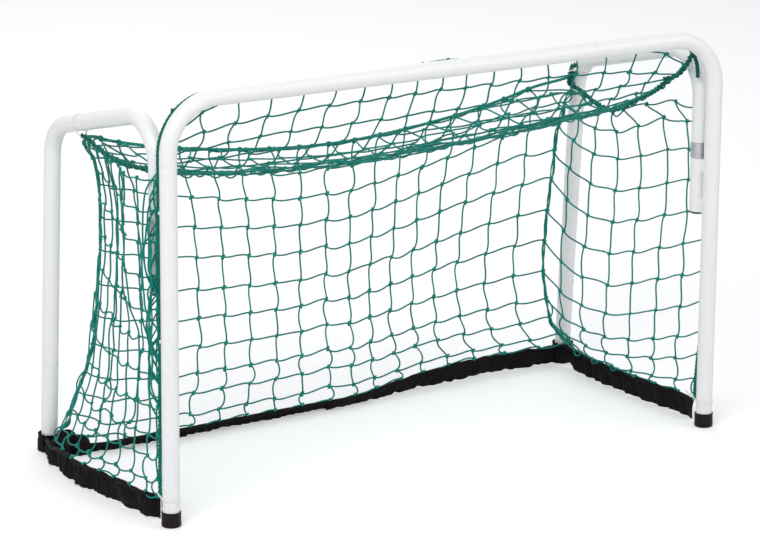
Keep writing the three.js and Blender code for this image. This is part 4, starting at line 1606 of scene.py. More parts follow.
    def foot_tie(self, side: Side) -> None:
        """Pulls a nylon tie round the post and the cord.

        Args:
            side: its side.
        """
        post = np.array([side.value * PLAN.post_x, 0.0, self.tie_height])
        shape = nylon_tie(post, PLAN.tube_radius + 0.7, self.on_post(side, self.tie_height),
                          PLAN.cord_radius + 0.9, UP, side.value)
        placed(shape.object(f"foot_band_{side.label}", self.finishes.nylon, 40.0), "front", "white_nylon",
               f"foot_tie_{side.label}")

    def build(self) -> None:
        """Builds the cord, the hooks and the foot ties."""
        self.rope()
        self.hooks()
        for side in Side:
            self.foot_tie(side)


# ------------------------------------------------------------------ ropes that carry the net
@dataclass
class HemRopes(Maker):
    """The side and rear ropes, and the lashings that tie them to the wings."""

    steel: SteelFrame
    laced_radius: float = 3.3
    laced_shade: float = 0.0
    rear_radius: float = 2.6
    rear_shade: float = 1.3
    lacing_radius: float = 1.0
    lacing_pitch: float = 12.5
    left_tie_y: float = 270.0
    right_tie_share: float = 3 / 7
    end_knot: float = 4.6
    tails: tuple[tuple[Place, ...], ...] = (
        ((0, 0, 0), (5, -2, -10), (9, -1, -22), (10.5, -1, -38)),
        ((0, 0, 0), (3.0, -5.0, 6.0), (7.0, -8.5, 11.0), (9.5, -4.0, 13.0)))
    loose_knot: float = 5.4
    knot: Place = (445.0, 98.0, 527.6)
    side_places: dict[Side, list[Place]] = field(default_factory=lambda: {
        Side.LEFT: [(-462, 268.5, 511.6), (-460.5, 247.6, 509), (-460, 230, 504), (-459.5, 204, 500),
                    (-459, 178.2, 497), (-457, 146.5, 495), (-452, 121, 495.8), (-446, 103.5, 496.2),
                    (-441, 54.7, 522), (-438.5, 34, 556), (-437, 23, 584)],
        Side.RIGHT: [(443, 344.1, 506.9), (446.2, 356.3, 472), (449.5, 334.4, 464.4), (453.5, 312.9, 454.5),
                     (455.5, 288.7, 448.4), (456.5, 263.5, 447), (456.5, 237.4, 454.6), (456, 211, 467.8),
                     (454.5, 178.4, 483.3), (451.5, 144, 499.3), (447.5, 113.7, 516.6), (445, 98, 527.6),
                     (442, 62.1, 545.5), (440, 40.4, 564.3), (437, 23, 584)]})
    sling: tuple[Place, ...] = (
        (437.6, 343.5, 506), (438.4, 350, 494), (440.2, 356.6, 480), (443.2, 361.5, 472.5),
        (447.8, 360.5, 467.5), (449.5, 354, 466.5))
    rear_half: tuple[Place, ...] = (
        (0, 356, 426), (30, 356, 426.3), (95, 356, 430), (177, 356, 438), (255, 356, 449), (319, 356, 461.5),
        (373, 354, 475))
    rear_ends: dict[Side, list[Place]] = field(default_factory=lambda: {
        Side.LEFT: [(-413, 320, 492.4), (-444.5, 290, 503), (-455.5, 273.5, 508.5)],
        Side.RIGHT: [(423.5, 356, 480.7), (436.5, 353, 484)]})

    def side_run(self, side: Side) -> Run:
        """A side rope's route, from its tie to the front bend."""
        return Run.smooth(self.side_places[side], 3.0)

    def rear_run(self, side: Side) -> Run:
        """Half of the rear rope, from the middle to its tie."""
        half = [(side.value * x, y, z) for x, y, z in self.rear_half]
        return Run.smooth([*half, *self.rear_ends[side]], 3.0)

    def tie_place(self, side: Side) -> tuple[Points, Points]:
        """Where a tie sits on its wing, and the tube's direction there.

        Args:
            side: its side.

        Returns:
            The point on the tube's axis, and the direction.
        """
        slope = PLAN.wing_slope
        if side is Side.LEFT:
            height = PLAN.wing_rear_z + (PLAN.wing_depth - self.left_tie_y) * math.tan(slope)
            return (np.array([-PLAN.post_x, self.left_tie_y, height]),
                    np.array([0.0, math.cos(slope), -math.sin(slope)]))
        bend = math.pi / 2 - math.atan(PLAN.leg_slope) - slope
        reach, turn = PLAN.wing_bend * math.tan(bend / 2), self.right_tie_share * bend
        ahead = PLAN.wing_bend * math.sin(turn) - reach
        inward = PLAN.wing_bend * (1 - math.cos(turn))
        at = np.array([PLAN.post_x, PLAN.wing_depth + ahead * math.cos(slope) - inward * math.sin(slope),
                       PLAN.wing_rear_z - ahead * math.sin(slope) - inward * math.cos(slope)])
        return at, np.array([0.0, math.cos(slope + turn), -math.sin(slope + turn)])

    def wing_tie(self, side: Side) -> None:
        """Pulls a white tie round the wing's tube and the ropes' meeting point.

        Args:
            side: its side.
        """
        at, along = self.tie_place(side)
        rope = self.side_run(side).points
        near = rope[np.linalg.norm(rope - at, axis=1) <= 30]
        beside = near[np.argmin(np.abs((near - at) @ along))]
        shape = nylon_tie(at, PLAN.tube_radius + 0.7, beside, PLAN.rope_radius + 0.9, along, -1)
        placed(shape.object(f"wing_band_{side.label}", self.finishes.nylon, 40.0), f"wing_{side.label}",
               "white_nylon", f"corner_tie_{side.label}")

    def knot_line(self, centre: Points, size: float) -> Points:
        """An overhand knot's line about a point."""
        tilt = np.array(Matrix.Rotation(0.9, 3, "X") @ Matrix.Rotation(0.5, 3, "Y"))
        return centre + trefoil(60, 0.8, 1.2) @ tilt.T * size / 3.0

    def side_rope(self, side: Side) -> None:
        """Lays a side rope with its knots and tails, and the twine that laces the net to it.

        Args:
            side: its side.
        """
        run = self.side_run(side)
        lines = [run.points]
        if side is Side.RIGHT:
            lines.append(self.knot_line(np.array(self.knot), self.loose_knot))
            lines.append(Run.smooth(self.sling, 2.0).points)
        top = run.points[-1]
        lines.append(self.knot_line(top + (0, -1.0, 3.0), self.end_knot))
        for tail in self.tails:
            lines.append(Run.smooth([top + (side.value * x, y, z) for x, y, z in tail], 2.0).points)
        rope = self.tools.rope(f"side_rope_line_{side.label}", lines, self.laced_radius, self.finishes.rope,
                               self.laced_shade)
        lace = run.evenly(1.6)
        _, normals, crosses = lace.frames(UP)
        spin = (lace.reach / self.lacing_pitch + 0.25 * np.sin(lace.reach / 21.0))[:, None] * 2 * math.pi
        coil = lace.points + (self.laced_radius + 0.5) * (np.cos(spin) * normals + np.sin(spin) * crosses)
        lacing = self.tools.round_runs(f"rope_lacing_{side.label}", [coil[4:-4]], self.lacing_radius, 5,
                                       self.finishes.twine)
        bends(rope, side, "green_rope", (20, 120), 500, f"side_rope_{side.label}")
        bends(lacing, side, "green_twine", (20, 120), 500)

    def build(self) -> None:
        """Lays the ropes and ties them."""
        for side in Side:
            self.side_rope(side)
            rear = self.tools.rope(f"rear_rope_line_{side.label}", [self.rear_run(side).points],
                                   self.rear_radius, self.finishes.rope, self.rear_shade)
            placed(rear, f"back_{side.label}", "green_rope", f"rear_rope_{side.label}")
            gather_back(rear, side)
            self.wing_tie(side)


def trefoil(count: int, height: float, depth: float) -> Points:
    """A closed knot's line about the origin, three across.

    Args:
        count: its points, with the first one again at the end.
        height: scale of its second axis.
        depth: scale of its third axis.

    Returns:
        The line's points.
    """
    t = np.linspace(0, 2 * math.pi, count)
    return np.stack([np.sin(t) + 2 * np.sin(2 * t), (np.cos(t) - 2 * np.cos(2 * t)) * height,
                     -np.sin(3 * t) * depth], axis=1)


# ------------------------------------------------------------------ the knotted net
Surface = Callable[[float, float], Points]


@dataclass
class NetPanel:
    """One panel of square knotted net, hung on a surface and let go slack by its twine length."""

    name: str
    columns: int
    rows: int
    surface: Surface
    seed: int
    twine: float = 50.0
    shift: float = 3.4
    hold: float = 0.05
    tilt: float = 0.32
    hand: int = 1
    first_column: int = 0
    pull: tuple[float, float] = (0.0, 0.0)
    row_places: tuple[float, ...] = ()
    rounds: int = 60
    weight: float = 0.25
    lowest: float = 2.0
    tight: float = 0.86
    knots: Points = field(init=False)

    def settle(self) -> None:
        """Places the knots: the surface, a seeded drift, then twine that can't stretch."""
        dice = np.random.default_rng(self.seed)
        downs = self.row_places or tuple(j / self.rows for j in range(self.rows + 1))
        powers = np.linspace(1 + self.pull[0], 1 + self.pull[1], self.columns + 1)
        rest = np.array([[self.surface(i / self.columns, down ** power) for down in downs]
                         for i, power in enumerate(powers)])
        slack = np.array([1 + 2.2 * smooth_step(down, 0.72, 0.93) for down in downs])[None, :, None]
        drift = dice.normal(0, self.shift, rest.shape) * slack * (1.0, 1.0, 0.6)
        place = rest + drift
        pinned = np.zeros(rest.shape[:2], bool)
        pinned[[0, -1], :] = pinned[:, [0, -1]] = True
        place[pinned] = rest[pinned]
        loose = (~pinned)[..., None].astype(float)
        for _ in range(self.rounds):
            place += (rest - place) * self.hold * loose
            place[..., 2] -= self.weight * loose[..., 0]
            for axis in (0, 1):
                for first in (0, 1):
                    a, b = ([slice(None), slice(None)] for _ in range(2))
                    a[axis] = slice(first, -1, 2)
                    b[axis] = slice(first + 1, None, 2)
                    a, b = tuple(a), tuple(b)
                    span = place[b] - place[a]
                    length = np.linalg.norm(span, axis=-1, keepdims=True)
                    excess = np.maximum(length - self.twine, 0) * span / np.maximum(length, 1e-6)
                    weight_a, weight_b = loose[a], loose[b]
                    total = np.maximum(weight_a + weight_b, 1e-6)
                    place[a] += excess * weight_a / total
                    place[b] -= excess * weight_b / total
        place[..., 2] = np.maximum(place[..., 2], self.lowest)
        self.knots = place

    def normals(self) -> Points:
        """The sheet's normal at each knot."""
        along = np.gradient(self.knots, axis=0)
        down = np.gradient(self.knots, axis=1)
        return unit(np.cross(unit(along), unit(down)))

    def strands(self) -> tuple[list[Points], list[float], Marks]:
        """Draws each strand between its knots, and marks the knots.

        Returns:
            The strands' points, their shades, and the knots' marks.
        """
        dice = np.random.default_rng(self.seed + 100)
        normal = self.normals()
        turn = self.hand * dice.normal(self.tilt, 0.16, normal.shape[:2])
        lift = dice.normal(0, 0.12, normal.shape[:2])
        lines, shades = [], []
        for axis in (0, 1):
            for i in range(self.first_column * axis, self.columns + 1 - (axis == 0)):
                for j in range(self.rows + 1 - (axis == 1)):
                    b = (i + 1, j) if axis == 0 else (i, j + 1)
                    lines.append(self.strand((i, j), b, normal, turn, lift, dice))
                    shades.append(float(dice.uniform(0.15, 0.75)))
        marks = Marks()
        for i in range(self.first_column, self.columns + 1):
            for j in range(self.rows + 1):
                across = unit(self.knots[min(i + 1, self.columns), j] - self.knots[max(i - 1, 0), j])
                out = normal[i, j]
                spin = turn[i, j] + 0.7 * self.hand
                first = math.cos(spin) * across + math.sin(spin) * np.cross(out, across)
                axes = np.stack([first, np.cross(out, first), out], axis=1)
                size, shade = float(dice.uniform(1.05, 1.35)), float(dice.uniform(0.9, 1.5))
                marks.add(self.knots[i, j], axes, size, 1, shade)
        return lines, shades, marks

    def strand(self, a: tuple[int, int], b: tuple[int, int], normal: Points, turn: Points, lift: Points,
               dice: np.random.Generator) -> Points:
        """One strand: leaves each knot at the knot's own angle and hangs by its spare length.

        Args:
            a: the first knot's column and row.
            b: the second knot's.
            normal: the sheet's normal at each knot.
            turn: how far each knot is turned in the sheet.
            lift: how far each knot is turned out of it.
            dice: the panel's random numbers.

        Returns:
            The strand's points.
        """
        start, end = self.knots[a], self.knots[b]
        chord = end - start
        gap = float(np.linalg.norm(chord))
        ways = []
        for knot in (a, b):
            out = normal[knot]
            flat = unit(chord - out * (chord @ out))
            leave = math.cos(turn[knot]) * flat - math.sin(turn[knot]) * np.cross(out, flat)
            ways.append(unit(leave + lift[knot] * out) * gap * 0.85)
        h = np.linspace(0, 1, 11)[:, None]
        line = ((2 * h ** 3 - 3 * h ** 2 + 1) * start + (h ** 3 - 2 * h ** 2 + h) * ways[0]
                + (3 * h ** 2 - 2 * h ** 3) * end + (h ** 3 - h ** 2) * ways[1])
        spare = 0.4 * max(self.tight * self.twine - gap, 0.0)
        beside, out = dice.normal(0, 0.7), dice.normal(0, 0.5)
        sideways = np.cross(unit(chord), normal[a]) * beside + normal[a] * out - 0.9 * UP
        sideways = unit(sideways - unit(chord) * (sideways @ unit(chord)))
        belly = math.sqrt(3 / 8 * spare * max(gap, 8.0)) * 0.8 + 0.02 * gap
        line = line + 4 * h * (1 - h) * sideways * belly
        line[:, 2] = np.maximum(line[:, 2], PLAN.twine_radius + 0.6)
        return line


@dataclass
class GoalNet(Maker):
    """The roof, back and side panels of the net, with its lacing on the ropes and along the corners."""

    cord: EdgeCord
    ropes: HemRopes
    skirt_plans: dict[Side, dict[str, Run]]
    columns: int = 18
    row_places: tuple[float, ...] = (
        0.0, 0.09, 0.19, 0.293, 0.397, 0.506, 0.606, 0.705, 0.799, 0.869, 0.945, 1.0)
    roof_rows: int = 10
    net_top: float = 500.0
    net_foot: float = 36.1
    above_skirt: float = 2.1
    under_rope: float = 1.5
    side_sag: dict[Side, float] = field(default_factory=lambda: {Side.LEFT: 8.0, Side.RIGHT: 36.0})
    side_columns: dict[Side, int] = field(default_factory=lambda: {Side.LEFT: 9, Side.RIGHT: 7})
    rope_seat: float = 4.8
    rope_front: float = 0.62
    rope_rear: dict[Side, float] = field(default_factory=lambda: {Side.LEFT: 0.06, Side.RIGHT: 0.14})
    rope_back: float = 0.93
    trough: tuple[tuple[float, float], ...] = ((78, 435), (225, 415))
    trough_rise: tuple[float, float] = (6, 22)
    trough_strands: tuple[Place, ...] = ((0.0, 110.0, 1.6), (2.6, 150.0, 3.2))
    trough_narrows: float = 300.0
    roof_seed: int = 5
    back_seed: int = 20
    side_seed: int = 40
    bunch_seed: int = 91
    bunch_strands: int = 17
    bunch_top: float = 512.0
    bunch_pitch: float = 15.0
    bunch_low: float = 150.0
    bunch_length: tuple[float, float] = (90, 190)
    bunch_reach: tuple[tuple[float, float], ...] = ((12, 28), (2, 12), (2, 12))
    corner_pitch: float = 85.0
    corner_places: dict[Side, list[Place]] = field(default_factory=lambda: {
        Side.LEFT: [(-447, 292, 494), (-414, 320, 450), (-406, 326, 406), (-405, 326, 349),
                    (-407.5, 328, 292), (-411.5, 335, 218), (-414.4, 343, 159), (-433, 354, 100),
                    (-455.5, 364.7, 40.6)],
        Side.RIGHT: [(440, 350, 462), (424.3, 345, 444.7), (409.6, 338, 408), (399.5, 335, 364),
                     (393.8, 333, 319), (385.4, 332, 259), (383.6, 335, 181), (394.9, 342, 131),
                     (415.6, 352, 78), (456.5, 364.7, 40.6)]})

    def corner(self, side: Side) -> Run:
        """The line where the side panel meets the back panel."""
        return Run.smooth(self.corner_places[side], 3.0)

    def skirt_top(self, x: float) -> float:
        """How high the back skirt's hem hangs, which grows to the right."""
        low, high = PLAN.back_skirt_low, PLAN.back_skirt_height
        return low + (high - low) * smooth_step(x, 30, 270)

    def hem(self, x: float) -> float:
        """How high the back panel's lower edge hangs."""
        return self.skirt_top(x) + self.above_skirt

    def back_surface(self, side: Side) -> Surface:
        """The back panel's half.

        Args:
            side: the half's side.

        Returns:
            The surface, from the middle (0) to the corner (1) and from the rope (0) to the skirt (1).
        """
        rope, corner, skirt = self.ropes.rear_run(side), self.corner(side), self.skirt_plans[side]["back"]
        _, rope_y, rope_z = rope.at(0)
        skirt_y = skirt.at(0)[1]

        def middle(v: float) -> Points:
            """The goal's middle line."""
            z = rope_z - self.under_rope + (self.hem(0) - rope_z + self.under_rope) * v
            return np.array([0.0, rope_y + (skirt_y - rope_y) * v + 10 * math.sin(math.pi * v), z])

        def top(u: float) -> Points:
            """The edge along the rear rope."""
            return corner.at(0) if u >= 1 else rope.at(u * self.rope_back) - UP * self.under_rope

        def bottom(u: float) -> Points:
            """The edge along the skirt."""
            x, y, _ = skirt.at(u * 0.95)
            return between(np.array([x, y, self.hem(x)]), corner.at(1), u ** 8)

        return coons(top, bottom, middle, corner.at)

    def side_surface(self, side: Side) -> Surface:
        """The side panel.

        Args:
            side: the panel's side.

        Returns:
            The surface, from the edge cord (0) to the corner (1) and from the side rope (0) to the skirt (1).
        """
        rope, corner, skirt = self.ropes.side_run(side), self.corner(side), self.skirt_plans[side]["side"]
        outside = side.value * (PLAN.post_x + PLAN.tube_radius + 3.0)
        sleeve_foot = self.ropes.steel.sleeve_foot

        def front(v: float) -> Points:
            """The edge on the cord."""
            at = self.cord.on_post(side, self.net_top + (self.net_foot - self.net_top) * v)
            return at + (side.value * 2.6, 2.6, 0.0)

        def top(u: float) -> Points:
            """The edge under the side rope.

            Args:
                u: the share of the way back.

            Returns:
                The point.
            """
            share = self.rope_front + (self.rope_rear[side] - self.rope_front) * u
            seat = rope.at(share) - UP * self.rope_seat
            return between(seat, front(0) if u < 0.5 else corner.at(0), abs(2 * u - 1) ** 3)

        def bottom(u: float) -> Points:
            """The edge along the skirt."""
            on_skirt = skirt.at(u * 0.93) + UP * self.net_foot
            return between(on_skirt, front(1) if u < 0.5 else corner.at(1), abs(2 * u - 1) ** 6)

        patch = coons(top, bottom, front, corner.at)

        def place(u: float, v: float) -> Points:
            """The patch, kept outside the hinge.

            Args:
                u: the share of the way across.
                v: the share of the way down.

            Returns:
                The point.
            """
            at = patch(u, v)
            at[2] -= self.side_sag[side] * 4 * u * (1 - u) * math.sin(math.pi * v) ** 0.8
            high = smooth_step(at[2], sleeve_foot - 60, sleeve_foot - 15)
            near = 1 - smooth_step(u, 0.2, 0.45)
            if u > 0:
                at[0] += (outside - at[0]) * high * near
            return at

        return place

    def roof_point(self, u: float, v: float) -> Points:
        """The roof: from the left (0) to the right (1), from the crossbar (0) to the rear rope (1).

        Args:
            u: the share of the way across.
            v: the share of the way down.

        Returns:
            The point.
        """
        x = 2 * u - 1
        side = Side.LEFT if x < 0 else Side.RIGHT
        start = self.cord.on_bar(x * (PLAN.post_x - PLAN.front_bend)) + (0, 3.2, -2.2)
        end = self.ropes.rear_run(side).at(abs(x) * 0.86) + (0, -2.5, 1.0)
        rise = self.trough_rise[0] + self.trough_rise[1] * max(x, 0.0)
        drawn = [np.array([(start[0] + end[0]) / 2, y, z + rise]) for y, z in self.trough]
        edge = self.ropes.side_run(side).at(0.93 + (0.16 - 0.93) * v) - (side.value * 3.5, 0, 0)
        return between(bezier(start, *drawn, end).at(v), edge, abs(x) ** 5)

    def knot_part(self) -> Shape:
        """A small netting knot: a tight clover of twine.

        Returns:
            The knot, about the origin.
        """
        shape = Shape()
        line = trefoil(15, 0.72, 1.0) * 0.82 * (1.15, 0.85, 1.0)
        shape.sweep(Run(line), circle(1.4, 4), UP, closed_ends=False)
        return shape

    def loop_part(self, core: float) -> Shape:
        """Two turns of twine round a rope that runs along X.

        Args:
            core: the rope's radius.

        Returns:
            The loop, about the origin.
        """
        t = np.linspace(0, 4 * math.pi, 17)
        radius = core + 0.5
        path = np.stack([(t / (4 * math.pi) - 0.5) * 4.6, np.cos(t) * radius, np.sin(t) * radius], axis=1)
        shape = Shape()
        shape.sweep(Run(path), circle(0.95, 4), (1, 0, 0))
        return shape

    def panel_piece(self, panel: NetPanel, loops: Marks, extra: Sequence[Points] = ()) -> Piece:
        """Runs the tree on a panel's strands, knots and lacing loops.

        Args:
            panel: the panel.
            loops: its lacing loops.
            extra: more runs of the same twine.

        Returns:
            The panel's piece.
        """
        panel.settle()
        lines, shades, marks = panel.strands()
        marks.join(loops)
        return self.tools.round_runs(panel.name, [*lines, *extra], PLAN.twine_radius, 6, self.finishes.twine,
                                     [*shades, *[0.7] * len(extra)], marks,
                                     [self.knot_part(), self.loop_part(PLAN.rope_radius)])

    def loops_along(self, places: Sequence[Points], ways: Sequence[Points]) -> Marks:
        """Marks a lacing loop at each place, round a rope that runs along each way.

        Args:
            places: points on the rope.
            ways: the rope's direction at each.

        Returns:
            The marks.
        """
        marks = Marks()
        for place, way in zip(places, ways):
            side = unit(np.cross(way, [0.1, 0.2, 1.0]))
            marks.add(place, np.stack([way, side, np.cross(way, side)], axis=1), 1.0, 2, 0.7)
        return marks

    def roof(self) -> None:
        """Hangs the roof panel between the crossbar, the side ropes and the rear rope."""
        panel = NetPanel("roof_netting", self.columns, self.roof_rows, self.roof_point, self.roof_seed,
                         shift=4.5, tilt=0.34, hand=-1)
        reach = PLAN.post_x - PLAN.front_bend
        places = [self.cord.on_bar((2 * i / self.columns - 1) * reach) for i in range(self.columns + 1)]
        loops = self.loops_along(places, [np.array([1.0, 0.0, 0.0])] * len(places))
        roof = self.panel_piece(panel, loops, self.trough_runs())
        placed(roof, "front", "green_twine", "roof_net")
        PLAN.world_point(0, 18, 600)
        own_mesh(roof)

    def trough_runs(self) -> list[Points]:
        """The bunched strands along the roof's lowest line, twined round each other.

        Returns:
            The strands' points.
        """
        across, down = np.linspace(0.02, 0.985, 120), np.linspace(0.2, 0.8, 36)
        lowest = []
        for u in across:
            fall = np.array([self.roof_point(u, v) for v in down])
            lowest.append(down[np.argmin(fall[:, 2] + 0.28 * fall[:, 1])])
        steady = np.convolve(np.pad(lowest, 14, "edge"), np.full(29, 1 / 29), "valid")
        line = Run.smooth([self.roof_point(u, v) for u, v in zip(across[::3], steady[::3])], 3.0)
        _, normals, crosses = line.frames(UP)
        runs = []
        narrow = np.clip((line.reach[-1] - line.reach) / self.trough_narrows, 0.25, 1)[:, None]
        for phase, turn, wide in self.trough_strands:
            angle = (phase + line.reach / turn * 2 * math.pi)[:, None]
            runs.append(line.points + wide * narrow * (np.cos(angle) * normals + np.sin(angle) * crosses))
        return runs

    def back(self, side: Side) -> None:
        """Hangs a back half between the rear rope, the corner and the skirt.

        Args:
            side: its side.
        """
        columns = self.columns // 2
        panel = NetPanel(f"back_netting_{side.label}", columns, len(self.row_places) - 1,
                         self.back_surface(side), self.back_seed + side.value, hand=-side.value,
                         first_column=int(side is Side.RIGHT), pull=(0.0, 0.25 * (side is Side.RIGHT)),
                         row_places=self.row_places)
        rope = self.ropes.rear_run(side)
        shares = [self.rope_back * i / columns for i in range(columns)]
        loops = self.loops_along([rope.at(s) for s in shares], [rope.direction(max(s, 0.01)) for s in shares])
        back = self.panel_piece(panel, loops)
        placed(back, f"back_{side.label}", "green_twine", f"back_net_{side.label}")
        gather_back(back, side, PLAN.net_stays)

    def side(self, side: Side) -> None:
        """Hangs a side panel and laces it to the edge cord.

        Args:
            side: its side.
        """
        loose, pull = (6.5, (0.0, 0.0)) if side is Side.LEFT else (3.4, (0.18, 0.25))
        panel = NetPanel(f"side_netting_{side.label}", self.side_columns[side], len(self.row_places) - 1,
                         self.side_surface(side), self.side_seed + side.value, shift=loose, pull=pull,
                         row_places=self.row_places)
        drop = self.net_foot - self.net_top
        places = [self.cord.on_post(side, self.net_top + drop * down ** (1 + pull[0]))
                  for down in self.row_places]
        loops = self.loops_along(places, [UP] * len(places))
        net = self.panel_piece(panel, loops, self.front_bunch() if side is Side.LEFT else [])
        bends(net, side, "green_twine", (18, 70), 300, f"side_net_{side.label}")

    def front_bunch(self) -> list[Points]:
        """The loose meshes drawn together at the left post, which hang as a bunch of strands.

        Returns:
            The strands' points.
        """
        dice = np.random.default_rng(self.bunch_seed)
        outside = -(PLAN.post_x + PLAN.tube_radius)
        runs = []
        for strand in range(self.bunch_strands):
            start = self.bunch_top - self.bunch_pitch * strand + dice.normal(0, 6)
            end = max(start - dice.uniform(*self.bunch_length), self.bunch_low)
            reach = dice.uniform(*self.bunch_reach[strand % 3])
            first, last = self.cord.on_post(Side.LEFT, start), self.cord.on_post(Side.LEFT, end)
            places = [first]
            for share in np.linspace(0, 1, max(int((start - end) / 24), 4) + 1)[1:-1]:
                bulge = math.sin(math.pi * share) ** 0.6
                across = outside - 2.5 - 4.0 * dice.random() - 2.0 * bulge
                behind = 15.0 + reach * bulge + dice.normal(0, 2.2)
                places.append(np.array([across, behind, start + (end - start) * share]))
            runs.append(Run.smooth([*places, last], 3.0).points)
        return runs

    def corner_lacing(self, side: Side) -> None:
        """Twines two strands down the corner, through the edges of the side and back panels.

        Args:
            side: its side.
        """
        run = self.corner(side).evenly(3.0)
        _, normals, crosses = run.frames((1, 0, 0))
        spin = (run.reach / self.corner_pitch * 2 * math.pi)[:, None]
        pair = [run.points + 1.7 * (np.cos(spin + turn) * normals + np.sin(spin + turn) * crosses)
                for turn in (0.0, math.pi)]
        lacing = self.tools.round_runs(f"corner_lacing_{side.label}", pair, 1.15, 7, self.finishes.twine,
                                       [0.9, 0.6])
        placed(lacing, f"wing_{side.label}", "green_twine")

    def build(self) -> None:
        """Hangs every panel."""
        self.roof()
        for side in Side:
            self.back(side)
            self.side(side)
            self.corner_lacing(side)


def smooth_step(value: float, low: float, high: float) -> float:
    """Rises smoothly from 0 at low to 1 at high."""
    share = min(max((value - low) / (high - low), 0.0), 1.0)
    return share * share * (3 - 2 * share)


def between(first: Points, second: Points, share: float) -> Points:
    """The point at a share of the way from one point to another."""
    return first * (1 - share) + second * share


def coons(top: Callable[[float], Points], bottom: Callable[[float], Points], first: Callable[[float], Points],
          last: Callable[[float], Points]) -> Surface:
    """A surface between four border curves.

    Args:
        top: the border at v = 0.
        bottom: the border at v = 1.
        first: the border at u = 0.
        last: the border at u = 1.

    Returns:
        The surface as a function of u and v.
    """
    def place(u: float, v: float) -> Points:
        """The surface's point.

        Args:
            u: the share of the way across.
            v: the share of the way down.

        Returns:
            The point.
        """
        ruled = top(u) * (1 - v) + bottom(u) * v + first(v) * (1 - u) + last(v) * u
        near, far = first(0) * (1 - v) + first(1) * v, last(0) * (1 - v) + last(1) * v
        return ruled - near * (1 - u) - far * u
    return place


def bezier(a: Points, b: Points, c: Points, d: Points) -> Run:
    """A cubic curve from a to d, drawn towards b and c."""
    t = np.linspace(0, 1, 60)[:, None]
    return Run((1 - t) ** 3 * a + 3 * (1 - t) ** 2 * t * b + 3 * (1 - t) * t ** 2 * c + t ** 3 * d)


